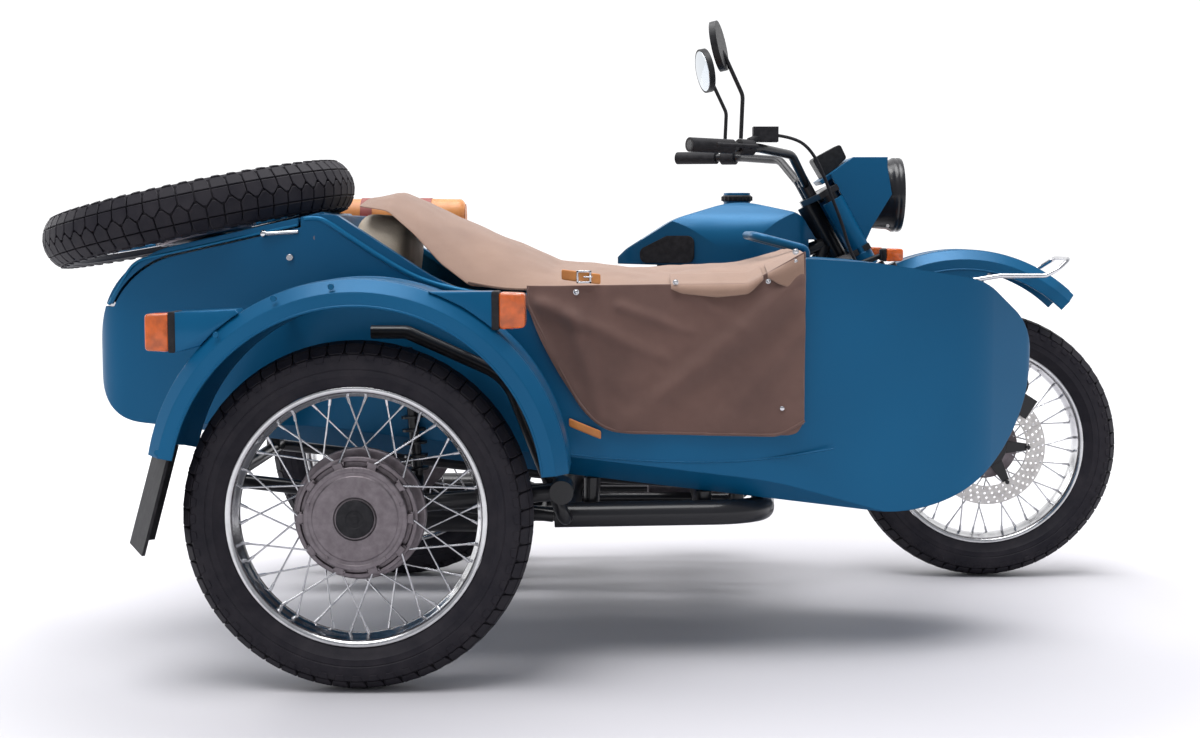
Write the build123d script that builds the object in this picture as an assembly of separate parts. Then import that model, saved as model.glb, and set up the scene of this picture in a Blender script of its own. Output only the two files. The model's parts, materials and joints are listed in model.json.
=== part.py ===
from build123d import *
import math
import os

os.makedirs("parts", exist_ok=True)

# A motorcycle with a sidecar on its right. Millimetres, X forward, Y to the left, Z up.
# While it is modelled the rear axle is at X 0, the motorcycle's middle at Y 0 and the floor at Z 0.

# Driving dimensions
wheelbase = 1500.0
track = 1140.0
wheel_lead = 50.0
tyre_radius = 342.0
tyre_width = 108.0
rim_radius = 253.0
rim_width = 78.0
head_setback = 420.0
head_height = 892.0
rake = 29.0
fork_half = 100.0
bar_half = 396.0
tub_centre = -650.0
tub_width = 600.0
tub_length = 1983.0
tub_rear_x = -535.0
running_gap = 0.3
moving_gap = 5.0

half = 0.5
quarter_turn = 90.0
half_turn = 180.0
full_turn = 360.0
rake_sin = math.sin(math.radians(rake))
rake_cos = math.cos(math.radians(rake))
head = Vector(wheelbase - head_setback, 0, head_height)
steer = Plane(origin=head, x_dir=(rake_cos, 0, rake_sin), z_dir=(-rake_sin, 0, rake_cos))
front_axle = Vector(wheelbase, 0, tyre_radius)
rear_axle = Vector(0, 0, tyre_radius)
side_axle = Vector(wheel_lead, -track, tyre_radius)


# Shapes that many pieces share
def rod(start, end, radius):
    """A round bar from one point to another."""
    way = Vector(end) - Vector(start)
    return extrude(Plane(origin=start, z_dir=way) * Circle(radius), way.length)


def bar(start, end, width):
    """A square bar from one point to another."""
    way = Vector(end) - Vector(start)
    return extrude(Plane(origin=start, z_dir=way) * Rectangle(width, width), way.length)


def bent_tube(points, bends, radius):
    """A round tube along straight runs joined by arcs."""
    path = FilletPolyline(*points, radius=bends)
    return sweep(Plane(origin=path @ 0, z_dir=path % 0) * Circle(radius), path=path)


def block(xs, ys, zs):
    """A box given by its two ends along each axis."""
    size = [max(pair) - min(pair) for pair in (xs, ys, zs)]
    centre = [half * (pair[0] + pair[1]) for pair in (xs, ys, zs)]
    return Pos(*centre) * Box(*size)


def side_face(points, radii=None):
    """A face in the X-Z plane from its corners, which may be rounded."""
    corners = [(x, 0, z) for x, z in points]
    if radii is None:
        return make_face(Polyline(*corners, close=True))
    return make_face(FilletPolyline(*corners, radius=radii, close=True))


def side_solid(points, ys, radii=None):
    """An outline seen from the side, as thick as the two Y places say."""
    face = Pos(0, min(ys), 0) * side_face(points, radii)
    return extrude(face, max(ys) - min(ys), dir=(0, 1, 0))


def turned(points, angle=full_turn):
    """A ring about the Y axis. The points are (y, radius)."""
    outline = make_face(Polyline(*[(radius, y) for y, radius in points], close=True))
    return revolve(outline, Axis.Y, angle)


def polar(radius, angle, y=0.0):
    """A point about the Y axis, where 0 degrees is forward and 90 is up."""
    return Vector(radius * math.cos(math.radians(angle)), y, radius * math.sin(math.radians(angle)))


def spread(shares, start, size):
    """Points from shares of a length and a height, counted from a start point."""
    return [(start[0] + along * size[0], start[1] + up * size[1]) for along, up in shares]


def both_sides(solid):
    """A solid and its mirror image across the motorcycle's middle."""
    return Part() + [solid, mirror(solid, Plane.XZ)]


def on_steer(ahead, y, up):
    """A point in the steering head's own directions."""
    return steer.from_local_coords(Vector(ahead, y, up))


# Tyre and rim
bead_y_share = 0.26
tyre_bed = 243.0
shoulder_radius = 328.0
cheek_radius = 292.0
shoulder_y_share = 0.41
rim_inner = 236.0
flange_thickness = 4.0


def tyre():
    edge = half * tyre_width
    bead = bead_y_share * tyre_width
    shoulder = shoulder_y_share * tyre_width
    return turned([(-bead, tyre_bed), (-edge, cheek_radius), (-shoulder, shoulder_radius), (0, tyre_radius),
                   (shoulder, shoulder_radius), (edge, cheek_radius), (bead, tyre_bed)])


def rim():
    edge = half * rim_width
    inner_edge = edge - flange_thickness
    bed = tyre_bed - running_gap
    return turned([(-edge, rim_radius), (-edge, rim_inner), (edge, rim_inner), (edge, rim_radius),
                   (inner_edge, bed), (-inner_edge, bed)])


# Wire spokes: each tab or hole pair sends one spoke each way round
spoke_size = 3.2
spoke_pairs = 10
spoke_swing = 22.5
spoke_side_step = 5.0
spoke_rim_y = 9.0
spoke_end_gap = 1.0


def spokes(radius, y, start_angle):
    """The spokes of one side of a wheel, from the hub's flange to the rim."""
    pitch = full_turn / spoke_pairs
    rim_y = math.copysign(spoke_rim_y, y)
    reach = rim_inner - spoke_end_gap
    bars = []
    for index in range(spoke_pairs):
        for way in (-1, 1):
            angle = start_angle + index * pitch
            start = polar(radius, angle, y + way * spoke_side_step)
            end = polar(reach, angle + way * spoke_swing, rim_y)
            bars.append(bar(start, end, spoke_size))
    return bars


# Drum hub of the rear, sidecar and spare wheels. Its cover faces away from the brake.
bore_radius = 10.0
drum_back_y = -35.0
drum_flange_y = -14.0
drum_flange_radius = 130.0
drum_radius = 101.0
drum_face_y = 52.0
cap_radius = 37.0
cap_face_y = 60.0
tab_radius = 112.0
tab_width = 24.0
tab_back_y = 26.0
tab_front_y = 48.0
tab_depth = 14.0


def drum_hub():
    bore = bore_radius + running_gap
    hub = turned([(drum_back_y, bore), (drum_back_y, drum_flange_radius), (drum_flange_y, drum_flange_radius),
                  (drum_flange_y, drum_radius), (drum_face_y, drum_radius), (drum_face_y, cap_radius),
                  (cap_face_y, cap_radius), (cap_face_y, bore)])
    tab = block((tab_radius - tab_depth, tab_radius), (tab_back_y, tab_front_y), (-half * tab_width, half * tab_width))
    pitch = full_turn / spoke_pairs
    tabs = [Rot(0, -index * pitch, 0) * tab for index in range(spoke_pairs)]
    tab_y = half * (tab_back_y + tab_front_y)
    flange_y = half * (drum_back_y + drum_flange_y)
    outer = spokes(tab_radius - half * tab_depth, tab_y, 0)
    inner = spokes(drum_flange_radius - half * tab_depth, flange_y, half * pitch)
    return hub + tabs + outer + inner


# Front hub, narrower, with a brake disc on its right
front_barrel = 40.0
front_barrel_y = 56.0
front_flange = 84.0
front_flange_y = 30.0
front_flange_thickness = 14.0
disc_radius = 147.0
disc_inner = 100.0
disc_thickness = 5.0
disc_y = -68.0
spider_arms = 6
spider_arm_width = 18.0
spider_thickness = 8.0
spider_lap = 6.0


def front_hub():
    bore = bore_radius + running_gap
    near = front_flange_y - half * front_flange_thickness
    far = front_flange_y + half * front_flange_thickness
    hub = turned([(-front_barrel_y, bore), (-front_barrel_y, front_barrel), (-far, front_barrel),
                  (-far, front_flange), (-near, front_flange), (-near, front_barrel), (near, front_barrel),
                  (near, front_flange), (far, front_flange), (far, front_barrel),
                  (front_barrel_y, front_barrel), (front_barrel_y, bore)])
    pitch = full_turn / spoke_pairs
    reach = front_flange - half * front_flange_thickness
    return hub + spokes(reach, front_flange_y, 0) + spokes(reach, -front_flange_y, half * pitch)


def brake_disc():
    """The braking ring, with the spider that carries it from the hub's end."""
    ring = turned([(disc_y, disc_inner), (disc_y, disc_radius), (disc_y - disc_thickness, disc_radius),
                   (disc_y - disc_thickness, disc_inner)])
    bore = bore_radius + running_gap
    seat = -front_barrel_y
    spider = turned([(seat, bore), (seat, front_barrel), (disc_y, front_barrel + spider_thickness),
                     (disc_y - disc_thickness, front_barrel), (disc_y - disc_thickness, bore)])
    arm = block((front_barrel, disc_inner + spider_lap), (disc_y, disc_y + spider_thickness),
                (-half * spider_arm_width, half * spider_arm_width))
    pitch = full_turn / spider_arms
    arms = [Rot(0, -index * pitch, 0) * arm for index in range(spider_arms)]
    return ring + spider + arms


# Motorcycle frame: two tubes on each side, the upper under the tank and the lower round the engine
frame_tube = 15.0
cradle_half = 150.0
cradle_z = 222.0
head_tube_radius = 28.0
head_tube_up = 78.0
head_tube_down = 74.0
pivot_x = 400.0
pivot_z = 330.0
seat_rail_half = 112.0
seat_rail_x = 330.0
seat_rail_z = 690.0
rail_end_x = -70.0
rail_end_z = 756.0
top_tube_half = 42.0
top_tube_z = 790.0
top_tube_x = 900.0
down_tube_x = 925.0
down_tube_z = 420.0
down_tube_start = 36.0
top_tube_start = -30.0
tank_post_x = 668.0
tank_post_half = 30.0
spring_top_x = 20.0
spring_top_z = 640.0
spring_y = 146.0
arm_half = 112.0
pivot_pin = 12.0
head_join_half = 24.0
cradle_bend = 70.0
shallow_bend = 160.0
frame_foot_x = 880.0
frame_heel_x = 470.0
cross_tube = 12.0
spring_bolt_radius = 9.0


def moto_frame():
    head_tube = rod(on_steer(0, 0, -head_tube_down), on_steer(0, 0, head_tube_up), head_tube_radius)
    low_join = on_steer(-frame_tube, 0, -down_tube_start)
    top_join = on_steer(-frame_tube, 0, top_tube_start)
    cradle = bent_tube([(low_join.X, head_join_half, low_join.Z), (down_tube_x, cradle_half, down_tube_z),
                        (frame_foot_x, cradle_half, cradle_z), (frame_heel_x, cradle_half, cradle_z),
                        (pivot_x, cradle_half, pivot_z), (seat_rail_x, seat_rail_half, seat_rail_z)],
                       [shallow_bend, cradle_bend, cradle_bend, cradle_bend], frame_tube)
    upper = bent_tube([(top_join.X, head_join_half, top_join.Z), (top_tube_x, top_tube_half, top_tube_z),
                       (seat_rail_x, seat_rail_half, seat_rail_z), (rail_end_x, seat_rail_half, rail_end_z)],
                      [shallow_bend, shallow_bend], frame_tube)
    post_share = (tank_post_x - seat_rail_x) / (top_tube_x - seat_rail_x)
    post_z = seat_rail_z + post_share * (top_tube_z - seat_rail_z)
    post_reach = seat_rail_half + post_share * (top_tube_half - seat_rail_half)
    crosses = [rod((x, -reach, z), (x, reach, z), cross_tube)
               for x, reach, z in ((down_tube_x, cradle_half, down_tube_z), (tank_post_x, post_reach, post_z),
                                   (seat_rail_x, seat_rail_half, seat_rail_z),
                                   (rail_end_x + frame_tube, seat_rail_half, rail_z(rail_end_x + frame_tube)),
                                   (frame_heel_x, cradle_half, cradle_z))]
    tank_post = block((tank_post_x - cross_tube, tank_post_x + cross_tube), (-tank_post_half, tank_post_half),
                      (post_z, tunnel_top - running_gap))
    pin = rod((pivot_x, arm_half - frame_tube, pivot_z), (pivot_x, cradle_half, pivot_z), pivot_pin)
    spring_post = rod((spring_top_x, seat_rail_half, spring_top_z), (spring_top_x, seat_rail_half, rail_z(spring_top_x)),
                      cross_tube)
    spring_bolt = rod((spring_top_x, seat_rail_half, spring_top_z), (spring_top_x, spring_y + cross_tube, spring_top_z),
                      spring_bolt_radius)
    return head_tube + both_sides(cradle + upper + pin + spring_post + spring_bolt) + crosses + tank_post


def rail_z(x):
    """The height of the seat rails' middle at a place along them."""
    return seat_rail_z + (rail_end_z - seat_rail_z) * (seat_rail_x - x) / (seat_rail_x - rail_end_x)


# Engine: one heavy block with its gearbox, sump, front cover and generator
engine_front_x = 850.0
engine_rear_x = 600.0
gearbox_rear_x = 444.0
crankcase_half = 100.0
crankcase_bottom = 262.0
crankcase_top = 500.0
sump_bottom = 201.0
sump_half = 88.0
gearbox_half = 78.0
gearbox_top = 470.0
case_corner = 34.0
timing_radius = 96.0
timing_length = 37.0
generator_radius = 52.0
generator_length = 130.0
generator_z = 540.0
crank_z = 400.0
output_radius = 30.0
output_length = 60.0
shaft_y = -76.0
shaft_radius = 14.0


def engine():
    case = side_solid([(engine_rear_x, crankcase_bottom), (engine_front_x, crankcase_bottom),
                       (engine_front_x, crankcase_top), (engine_rear_x, crankcase_top)],
                      (-crankcase_half, crankcase_half), case_corner)
    sump = side_solid([(engine_rear_x + case_corner, sump_bottom), (engine_front_x - case_corner, sump_bottom),
                       (engine_front_x - case_corner, crankcase_bottom + case_corner),
                       (engine_rear_x + case_corner, crankcase_bottom + case_corner)], (-sump_half, sump_half))
    gearbox = side_solid([(gearbox_rear_x, crankcase_bottom + case_corner), (engine_rear_x, crankcase_bottom),
                          (engine_rear_x + case_corner, gearbox_top), (gearbox_rear_x, gearbox_top - case_corner)],
                         (-gearbox_half, gearbox_half))
    timing = rod((engine_front_x - case_corner, 0, crank_z), (engine_front_x + timing_length, 0, crank_z),
                 timing_radius)
    generator = rod((engine_front_x - generator_length, 0, generator_z),
                    (engine_front_x + timing_length, 0, generator_z), generator_radius)
    output = rod((gearbox_rear_x, shaft_y, tyre_radius), (gearbox_rear_x + output_length, shaft_y, tyre_radius),
                 output_radius)
    return case + sump + gearbox + timing + generator + output


# The two flat cylinders, finned across their barrels
barrel_radius = 58.0
fin_half_x = 66.0
fin_half_z = 64.0
fin_count = 7
fin_thickness = 4.0
fin_start_y = 112.0
fin_pitch = 13.0
head_start_y = 206.0
head_end_y = 262.0
head_half = 72.0
cover_end_y = 318.0
cover_half = 60.0
cover_corner = 24.0
cylinder_x = 730.0
head_fins = 4


def cylinder(side):
    """The barrel, head and rocker cover on one side: 1 is left and -1 is right."""
    middle = (cylinder_x, 0, crank_z)
    barrel = rod((cylinder_x, crankcase_half, crank_z), (cylinder_x, head_end_y, crank_z), barrel_radius)
    fins = [block((cylinder_x - fin_half_x, cylinder_x + fin_half_x),
                  (fin_start_y + index * fin_pitch, fin_start_y + index * fin_pitch + fin_thickness),
                  (crank_z - fin_half_z, crank_z + fin_half_z)) for index in range(fin_count)]
    tops = [block((cylinder_x - head_half, cylinder_x + head_half),
                  (head_start_y + index * fin_pitch, head_start_y + index * fin_pitch + fin_thickness + fin_thickness),
                  (crank_z - head_half, crank_z + head_half)) for index in range(head_fins)]
    cover = side_solid([(cylinder_x - cover_half, crank_z - cover_half), (cylinder_x + cover_half, crank_z - cover_half),
                        (cylinder_x + cover_half, crank_z + cover_half),
                        (cylinder_x - cover_half, crank_z + cover_half)], (head_end_y, cover_end_y), cover_corner)
    whole = barrel + fins + tops + cover
    return whole if side > 0 else mirror(whole, Plane.XZ)


# Intake: a throttle body behind each head, with a pipe back to one air box
air_box_front_x = 590.0
air_box_rear_x = 440.0
air_box_half = 84.0
air_box_bottom = 500.0
air_box_top = 640.0
throttle_radius = 24.0
throttle_length = 60.0
throttle_y = 222.0
throttle_z = 462.0
intake_bend = 45.0


def intake():
    box = side_solid([(air_box_rear_x, air_box_bottom), (air_box_front_x, air_box_bottom),
                      (air_box_front_x, air_box_top), (air_box_rear_x, air_box_top)],
                     (-air_box_half, air_box_half), case_corner)
    start_x = cylinder_x - head_half
    pipe = bent_tube([(start_x, throttle_y, throttle_z), (start_x - throttle_length, throttle_y, throttle_z),
                      (half * (air_box_front_x + air_box_rear_x), throttle_y, half * (air_box_bottom + air_box_top)),
                      (half * (air_box_front_x + air_box_rear_x), air_box_half, half * (air_box_bottom + air_box_top))],
                     [intake_bend, intake_bend], throttle_radius)
    return box + both_sides(pipe)


# Exhausts: one pipe and silencer on each side of the motorcycle
exhaust_radius = 19.0
exhaust_y = 234.0
exhaust_front_x = 848.0
exhaust_top_z = 372.0
exhaust_low_z = 190.0
exhaust_bend = 40.0
silencer_radius = 46.0
silencer_front_x = 330.0
silencer_rear_x = -240.0
silencer_y = 196.0
silencer_cone = 70.0


def exhausts():
    start_x = cylinder_x + head_half
    pipe = bent_tube([(start_x, exhaust_y, exhaust_top_z), (exhaust_front_x, exhaust_y, exhaust_top_z),
                      (exhaust_front_x, exhaust_y, exhaust_low_z), (silencer_front_x, silencer_y, exhaust_low_z)],
                     [exhaust_bend, exhaust_bend], exhaust_radius)
    outline = [(silencer_front_x, exhaust_radius), (silencer_front_x - silencer_cone, silencer_radius),
               (silencer_rear_x, silencer_radius), (silencer_rear_x, 0), (silencer_front_x, 0)]
    can = revolve(make_face(Polyline(*outline, close=True)), Axis.X, full_turn)
    return both_sides(pipe + Pos(0, silencer_y, exhaust_low_z) * can)


# Final drive on the right of the rear wheel, with the shaft from the gearbox
bevel_radius = 82.0
bevel_taper = 20.0
bevel_outer_y = -94.0
shaft_joint_radius = 18.0
shaft_joint_length = 44.0


def final_drive():
    bore = bore_radius + running_gap
    inner_y = drum_back_y - moving_gap
    housing = turned([(inner_y, bore), (inner_y, bevel_radius), (half * (inner_y + bevel_outer_y), bevel_radius),
                      (bevel_outer_y, bevel_radius - bevel_taper), (bevel_outer_y, bore)])
    housing = Pos(rear_axle) * housing
    front_x = gearbox_rear_x - running_gap
    shaft = rod((bevel_radius - bevel_taper, shaft_y, tyre_radius), (front_x, shaft_y, tyre_radius), shaft_radius)
    joint = rod((front_x - shaft_joint_length, shaft_y, tyre_radius), (front_x, shaft_y, tyre_radius), shaft_joint_radius)
    return housing + shaft + joint


# Rear swinging arm with the rear axle, and the two springs above it
arm_tube = 15.0
arm_boss = 26.0
arm_end_radius = 28.0
arm_end_thickness = 16.0
arm_cross_x = 362.0
arm_cross_z = 280.0
spring_foot_x = 10.0
spring_foot_z = 385.0
spring_radius = 24.0
damper_radius = 11.0
spring_eye = 17.0
spring_coils = 9
coil_wire = 5.0
axle_spacer = 18.0


def rear_arm():
    boss = rod((pivot_x, arm_half - arm_tube, pivot_z), (pivot_x, arm_half + arm_tube, pivot_z), arm_boss)
    boss -= rod((pivot_x, 0, pivot_z), (pivot_x, cradle_half, pivot_z), pivot_pin + running_gap)
    arm = rod((pivot_x - arm_boss + arm_tube, arm_half, pivot_z), (0, arm_half, tyre_radius), arm_tube)
    arm -= rod((pivot_x, 0, pivot_z), (pivot_x, cradle_half, pivot_z), pivot_pin + running_gap)
    end = rod((0, arm_half - half * arm_end_thickness, tyre_radius), (0, arm_half + half * arm_end_thickness, tyre_radius),
              arm_end_radius)
    peg = rod((spring_foot_x, arm_half, spring_foot_z), (spring_foot_x, spring_y + cross_tube, spring_foot_z),
              spring_bolt_radius)
    lug = block((spring_foot_x - damper_radius, spring_foot_x + damper_radius),
                (arm_half - half * arm_end_thickness, arm_half + half * arm_end_thickness),
                (tyre_radius, spring_foot_z + damper_radius))
    drop = rod((arm_cross_x, arm_half, pivot_z), (arm_cross_x, arm_half, arm_cross_z), arm_tube - running_gap)
    cross = rod((arm_cross_x, -arm_half, arm_cross_z), (arm_cross_x, arm_half, arm_cross_z), arm_tube - running_gap)
    spacer = rod((0, cap_face_y + moving_gap, tyre_radius), (0, arm_half, tyre_radius), axle_spacer)
    axle = rod((0, -arm_half - arm_end_thickness, tyre_radius), (0, arm_half + arm_end_thickness, tyre_radius), bore_radius)
    return both_sides(boss + arm + end + peg + lug + drop) + cross + axle + spacer


def spring_unit(foot, top, radius, wire, coils):
    """A damper with an eye at each end and closed rings for its coil spring."""
    way = Vector(top) - Vector(foot)
    line = Plane(origin=foot, x_dir=(0, 1, 0), z_dir=way)
    body = line * (Pos(0, 0, half * way.length) * Cylinder(damper_radius, way.length))
    ring_step = (way.length - spring_eye - spring_eye - wire) / coils
    ring = Cylinder(radius, wire)
    rings = [line * (Pos(0, 0, spring_eye + ring_step * (index + half)) * ring) for index in range(coils)]
    return body + rings


def rear_springs():
    unit = spring_unit((spring_foot_x, spring_y, spring_foot_z), (spring_top_x, spring_y, spring_top_z),
                       spring_radius, coil_wire, spring_coils)
    eyes = [rod((x, spring_y - spring_eye, z), (x, spring_y + spring_eye, z), spring_eye)
            for x, z in ((spring_foot_x, spring_foot_z), (spring_top_x, spring_top_z))]
    holes = [rod((x, 0, z), (x, bar_half, z), spring_bolt_radius + running_gap)
             for x, z in ((spring_foot_x, spring_foot_z), (spring_top_x, spring_top_z))]
    return both_sides(unit + eyes - holes)


# Fuel tank: its side, top and front outlines crossed, with a tunnel for the frame
tank_rear_x = 540.0
tank_bottom = 800.0
tank_height = 172.0
tank_length = 528.0
tank_width = 276.0
tunnel_half = 66.0
tunnel_top = 871.0
tank_head_gap = 4.0
TANK_SIDE_SHARES = [(0.0, 0.06), (0.07, 0.27), (0.30, 0.72), (0.60, 1.0), (0.90, 0.80), (1.0, 0.36), (0.97, 0.15),
                    (0.62, 0.02)]
TANK_SIDE_BEND_SHARES = [0.02, 0.5, 1.2, 1.3, 0.35, 0.1, 0.1, 0.5]
TANK_TOP_SHARES = [(0.0, 0.20), (0.10, 0.34), (0.45, 0.50), (0.70, 0.50), (0.90, 0.33), (1.0, 0.13)]
TANK_TOP_BEND_SHARES = [0.08, 0.4, 0.9, 0.6, 0.4, 0.08]
TANK_FRONT_SHARES = [(-0.50, 0.0), (0.50, 0.0), (0.50, 0.62), (0.20, 1.0), (-0.20, 1.0), (-0.50, 0.62)]
TANK_FRONT_BEND_SHARES = [0.04, 0.04, 0.40, 0.30, 0.30, 0.40]
cap_neck = 34.0
cap_top = 990.0
cap_x = 861.0
cap_neck_height = 22.0


def fuel_tank():
    side = spread(TANK_SIDE_SHARES, (tank_rear_x, tank_bottom), (tank_length, tank_height))
    body = side_solid(side, (-tank_width, tank_width), [share * tank_height for share in TANK_SIDE_BEND_SHARES])
    upper = [(tank_rear_x + along * tank_length, out * tank_width) for along, out in TANK_TOP_SHARES]
    lower = [(x, -y) for x, y in reversed(upper)]
    bends = [share * tank_width for share in TANK_TOP_BEND_SHARES]
    plan = make_face(FilletPolyline(*upper, *lower, radius=bends + bends[::-1], close=True))
    body &= extrude(Pos(0, 0, tank_bottom - tank_height) * plan, tank_height + tank_height + tank_height)
    front = [(out * tank_width, tank_bottom + up * tank_height) for out, up in TANK_FRONT_SHARES]
    section = FilletPolyline(*[(0, y, z) for y, z in front],
                             radius=[share * tank_width for share in TANK_FRONT_BEND_SHARES], close=True)
    body &= extrude(Pos(tank_rear_x - cap_neck, 0, 0) * make_face(section), tank_length + cap_neck + cap_neck,
                    dir=(1, 0, 0))
    tunnel = block((tank_rear_x - cap_neck, tank_rear_x + tank_length + cap_neck), (-tunnel_half, tunnel_half),
                   (tank_bottom - cap_neck, tunnel_top))
    cap = rod((cap_x, 0, cap_top - cap_neck_height - cap_neck_height), (cap_x, 0, cap_top), cap_neck)
    head_tube = rod(on_steer(0, 0, -head_tube_down - tunnel_half), on_steer(0, 0, head_tube_up + tunnel_half),
                    head_tube_radius + tank_head_gap)
    return body - tunnel - head_tube + cap


# Knee pads, flat on the tank's sides where these narrow towards the rider
pad_length = 138.0
pad_height = 68.0
pad_start = 20.0
pad_bottom = 813.0
pad_thickness = 9.0
pad_corner = 18.0


def knee_pads():
    rear, front = [Vector(tank_rear_x + along * tank_length, out * tank_width, pad_bottom)
                   for along, out in TANK_TOP_SHARES[1:3]]
    ahead = (front - rear).normalized()
    out = Vector(-ahead.Y, ahead.X, 0)
    side = Plane(origin=rear + ahead * pad_start + out * running_gap, x_dir=-ahead, z_dir=out)
    outline = [(0, 0), (-pad_length, 0), (-pad_length, pad_height), (-half * pad_length, pad_height),
               (0, half * pad_height)]
    pad = extrude(side * make_face(FilletPolyline(*outline, radius=pad_corner, close=True)), pad_thickness)
    return both_sides(pad)


# Rider's saddle, rack and the roll strapped to it
saddle_rear_x = 150.0
saddle_length = 376.0
saddle_bottom = 742.0
saddle_height = 96.0
saddle_half = 132.0
saddle_nose_half = 70.0
saddle_corner = 30.0
saddle_pan = 6.0


def saddle():
    top = saddle_bottom + saddle_height
    side = side_solid([(saddle_rear_x, saddle_bottom), (saddle_rear_x + saddle_length, saddle_bottom),
                       (saddle_rear_x + saddle_length, top - saddle_corner), (saddle_rear_x + half * saddle_length, top - saddle_corner),
                       (saddle_rear_x, top)], (-saddle_half, saddle_half), saddle_corner)
    plan = [(saddle_rear_x, saddle_half), (saddle_rear_x + half * saddle_length, saddle_half),
            (saddle_rear_x + saddle_length, saddle_nose_half)]
    outline = FilletPolyline(*plan, *[(x, -y) for x, y in reversed(plan)], radius=saddle_corner + saddle_corner,
                             close=True)
    return side & extrude(Pos(0, 0, saddle_bottom - saddle_corner) * make_face(outline), saddle_height + saddle_height)


def saddle_mount():
    """The pan and posts that carry the saddle on the seat rails."""
    pan = block((saddle_rear_x + saddle_corner, saddle_rear_x + saddle_length - saddle_corner),
                (-seat_rail_half, seat_rail_half), (saddle_bottom - running_gap - saddle_pan, saddle_bottom - running_gap))
    posts = [rod((x, y, seat_rail_z), (x, y, saddle_bottom - saddle_pan), cross_tube)
             for x in (seat_rail_x,)
             for y in (-seat_rail_half + cross_tube, seat_rail_half - cross_tube)]
    return pan + posts


rack_front_x = 140.0
rack_rear_x = -190.0
rack_half = 110.0
rack_z = 866.0
rack_tube = 8.0
rack_bend = 40.0
rack_slats = 3
rack_foot_gap = 1.6
roll_radius = 52.0
roll_rear_x = -195.0
roll_length = 360.0


def rear_rack():
    hoop = bent_tube([(rack_front_x, -rack_tube, rack_z), (rack_front_x, rack_half, rack_z),
                      (rack_rear_x, rack_half, rack_z), (rack_rear_x, -rack_tube, rack_z)], rack_bend, rack_tube)
    step = (rack_front_x - rack_rear_x) / (rack_slats + 1)
    slats = [rod((rack_rear_x + step * (index + 1), -rack_half, rack_z), (rack_rear_x + step * (index + 1), rack_half, rack_z),
                 rack_tube) for index in range(rack_slats)]
    legs = [rod((x, y, rail_z(x) + frame_tube + rack_foot_gap), (x, y, rack_z), rack_tube)
            for x in (rail_end_x + frame_tube, rack_front_x - step) for y in (-rack_half, rack_half)]
    return both_sides(hoop) + slats + legs


def leather_roll():
    """A long roll lying on the rack, in line with the motorcycle."""
    z = rack_z + rack_tube + running_gap + roll_radius
    return rod((roll_rear_x, 0, z), (roll_rear_x + roll_length, 0, z), roll_radius)


# Mudguards: a bent band with two turned-down sides
guard_wall = 4.0
guard_corner = 24.0
guard_skirt = 52.0


def mudguard(radius, width, start_angle, sweep_angle):
    """A mudguard about the Y axis, from a start angle on over a sweep, both in degrees."""
    edge = half * width
    inner = edge - guard_wall
    corner = edge - guard_corner
    band = turned([(-edge, radius - guard_skirt), (-edge, radius - guard_corner), (-corner, radius), (corner, radius),
                   (edge, radius - guard_corner), (edge, radius - guard_skirt), (inner, radius - guard_skirt),
                   (inner, radius - guard_corner), (corner, radius - guard_wall), (-corner, radius - guard_wall),
                   (-inner, radius - guard_corner), (-inner, radius - guard_skirt)], sweep_angle)
    return Rot(0, -start_angle - sweep_angle, 0) * band


rear_guard_radius = 402.0
rear_guard_width = 156.0
rear_guard_start = 32.0
rear_guard_sweep = 142.0


def rear_fender():
    band = Pos(rear_axle) * mudguard(rear_guard_radius, rear_guard_width, rear_guard_start, rear_guard_sweep)
    seat_x = rail_end_x + frame_tube
    bracket = block((seat_x - frame_tube, seat_x + frame_tube), (-tank_post_half, tank_post_half),
                    (tyre_radius + rear_guard_radius - guard_wall - guard_wall, rail_z(seat_x) - cross_tube - running_gap))
    return band + bracket


# Tail lamp and a bare number plate behind the rear mudguard
lamp_half_width = 50.0
lamp_height = 56.0
lamp_depth = 42.0
lamp_z = 640.0
plate_width = 180.0
plate_height = 110.0
plate_thickness = 3.0
plate_hole_radius = 3.0
plate_hole_spacing = 140.0
plate_hole_drop = 18.0


def tail_lamp():
    guard_back = -math.sqrt(rear_guard_radius ** 2 - (lamp_z - tyre_radius) ** 2)
    lamp = block((guard_back - lamp_depth, guard_back + guard_wall), (-lamp_half_width, lamp_half_width),
                 (lamp_z - half * lamp_height, lamp_z + half * lamp_height))
    lamp -= Pos(rear_axle) * turned([(-tub_width, 0), (-tub_width, rear_guard_radius + running_gap),
                                     (tub_width, rear_guard_radius + running_gap), (tub_width, 0)])
    plate = block((guard_back - lamp_depth - plate_thickness, guard_back - lamp_depth),
                  (-half * plate_width, half * plate_width),
                  (lamp_z - half * lamp_height, lamp_z - half * lamp_height + plate_height + half * lamp_height))
    top = lamp_z - half * lamp_height + plate_height + half * lamp_height
    back = guard_back - lamp_depth
    holes = [rod((back - plate_height, y, top - plate_hole_drop), (back + plate_height, y, top - plate_hole_drop), plate_hole_radius)
             for y in (-half * plate_hole_spacing, half * plate_hole_spacing)]
    return lamp + plate - holes


tank_solid = fuel_tank()

# Sidecar tub: its side and top outlines crossed with a rounded cross-section, then hollowed
tub_wall = 12.0
tub_base = 269.0
tub_height = 666.0
bulkhead_x = -48.0
bulkhead_wall = 14.0
cockpit_front_x = 912.0
cockpit_rim = 34.0
lid_front_x = -96.0
lid_wall = 10.0
lid_skirt = 15.0
lid_tail_z = 742.0
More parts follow.
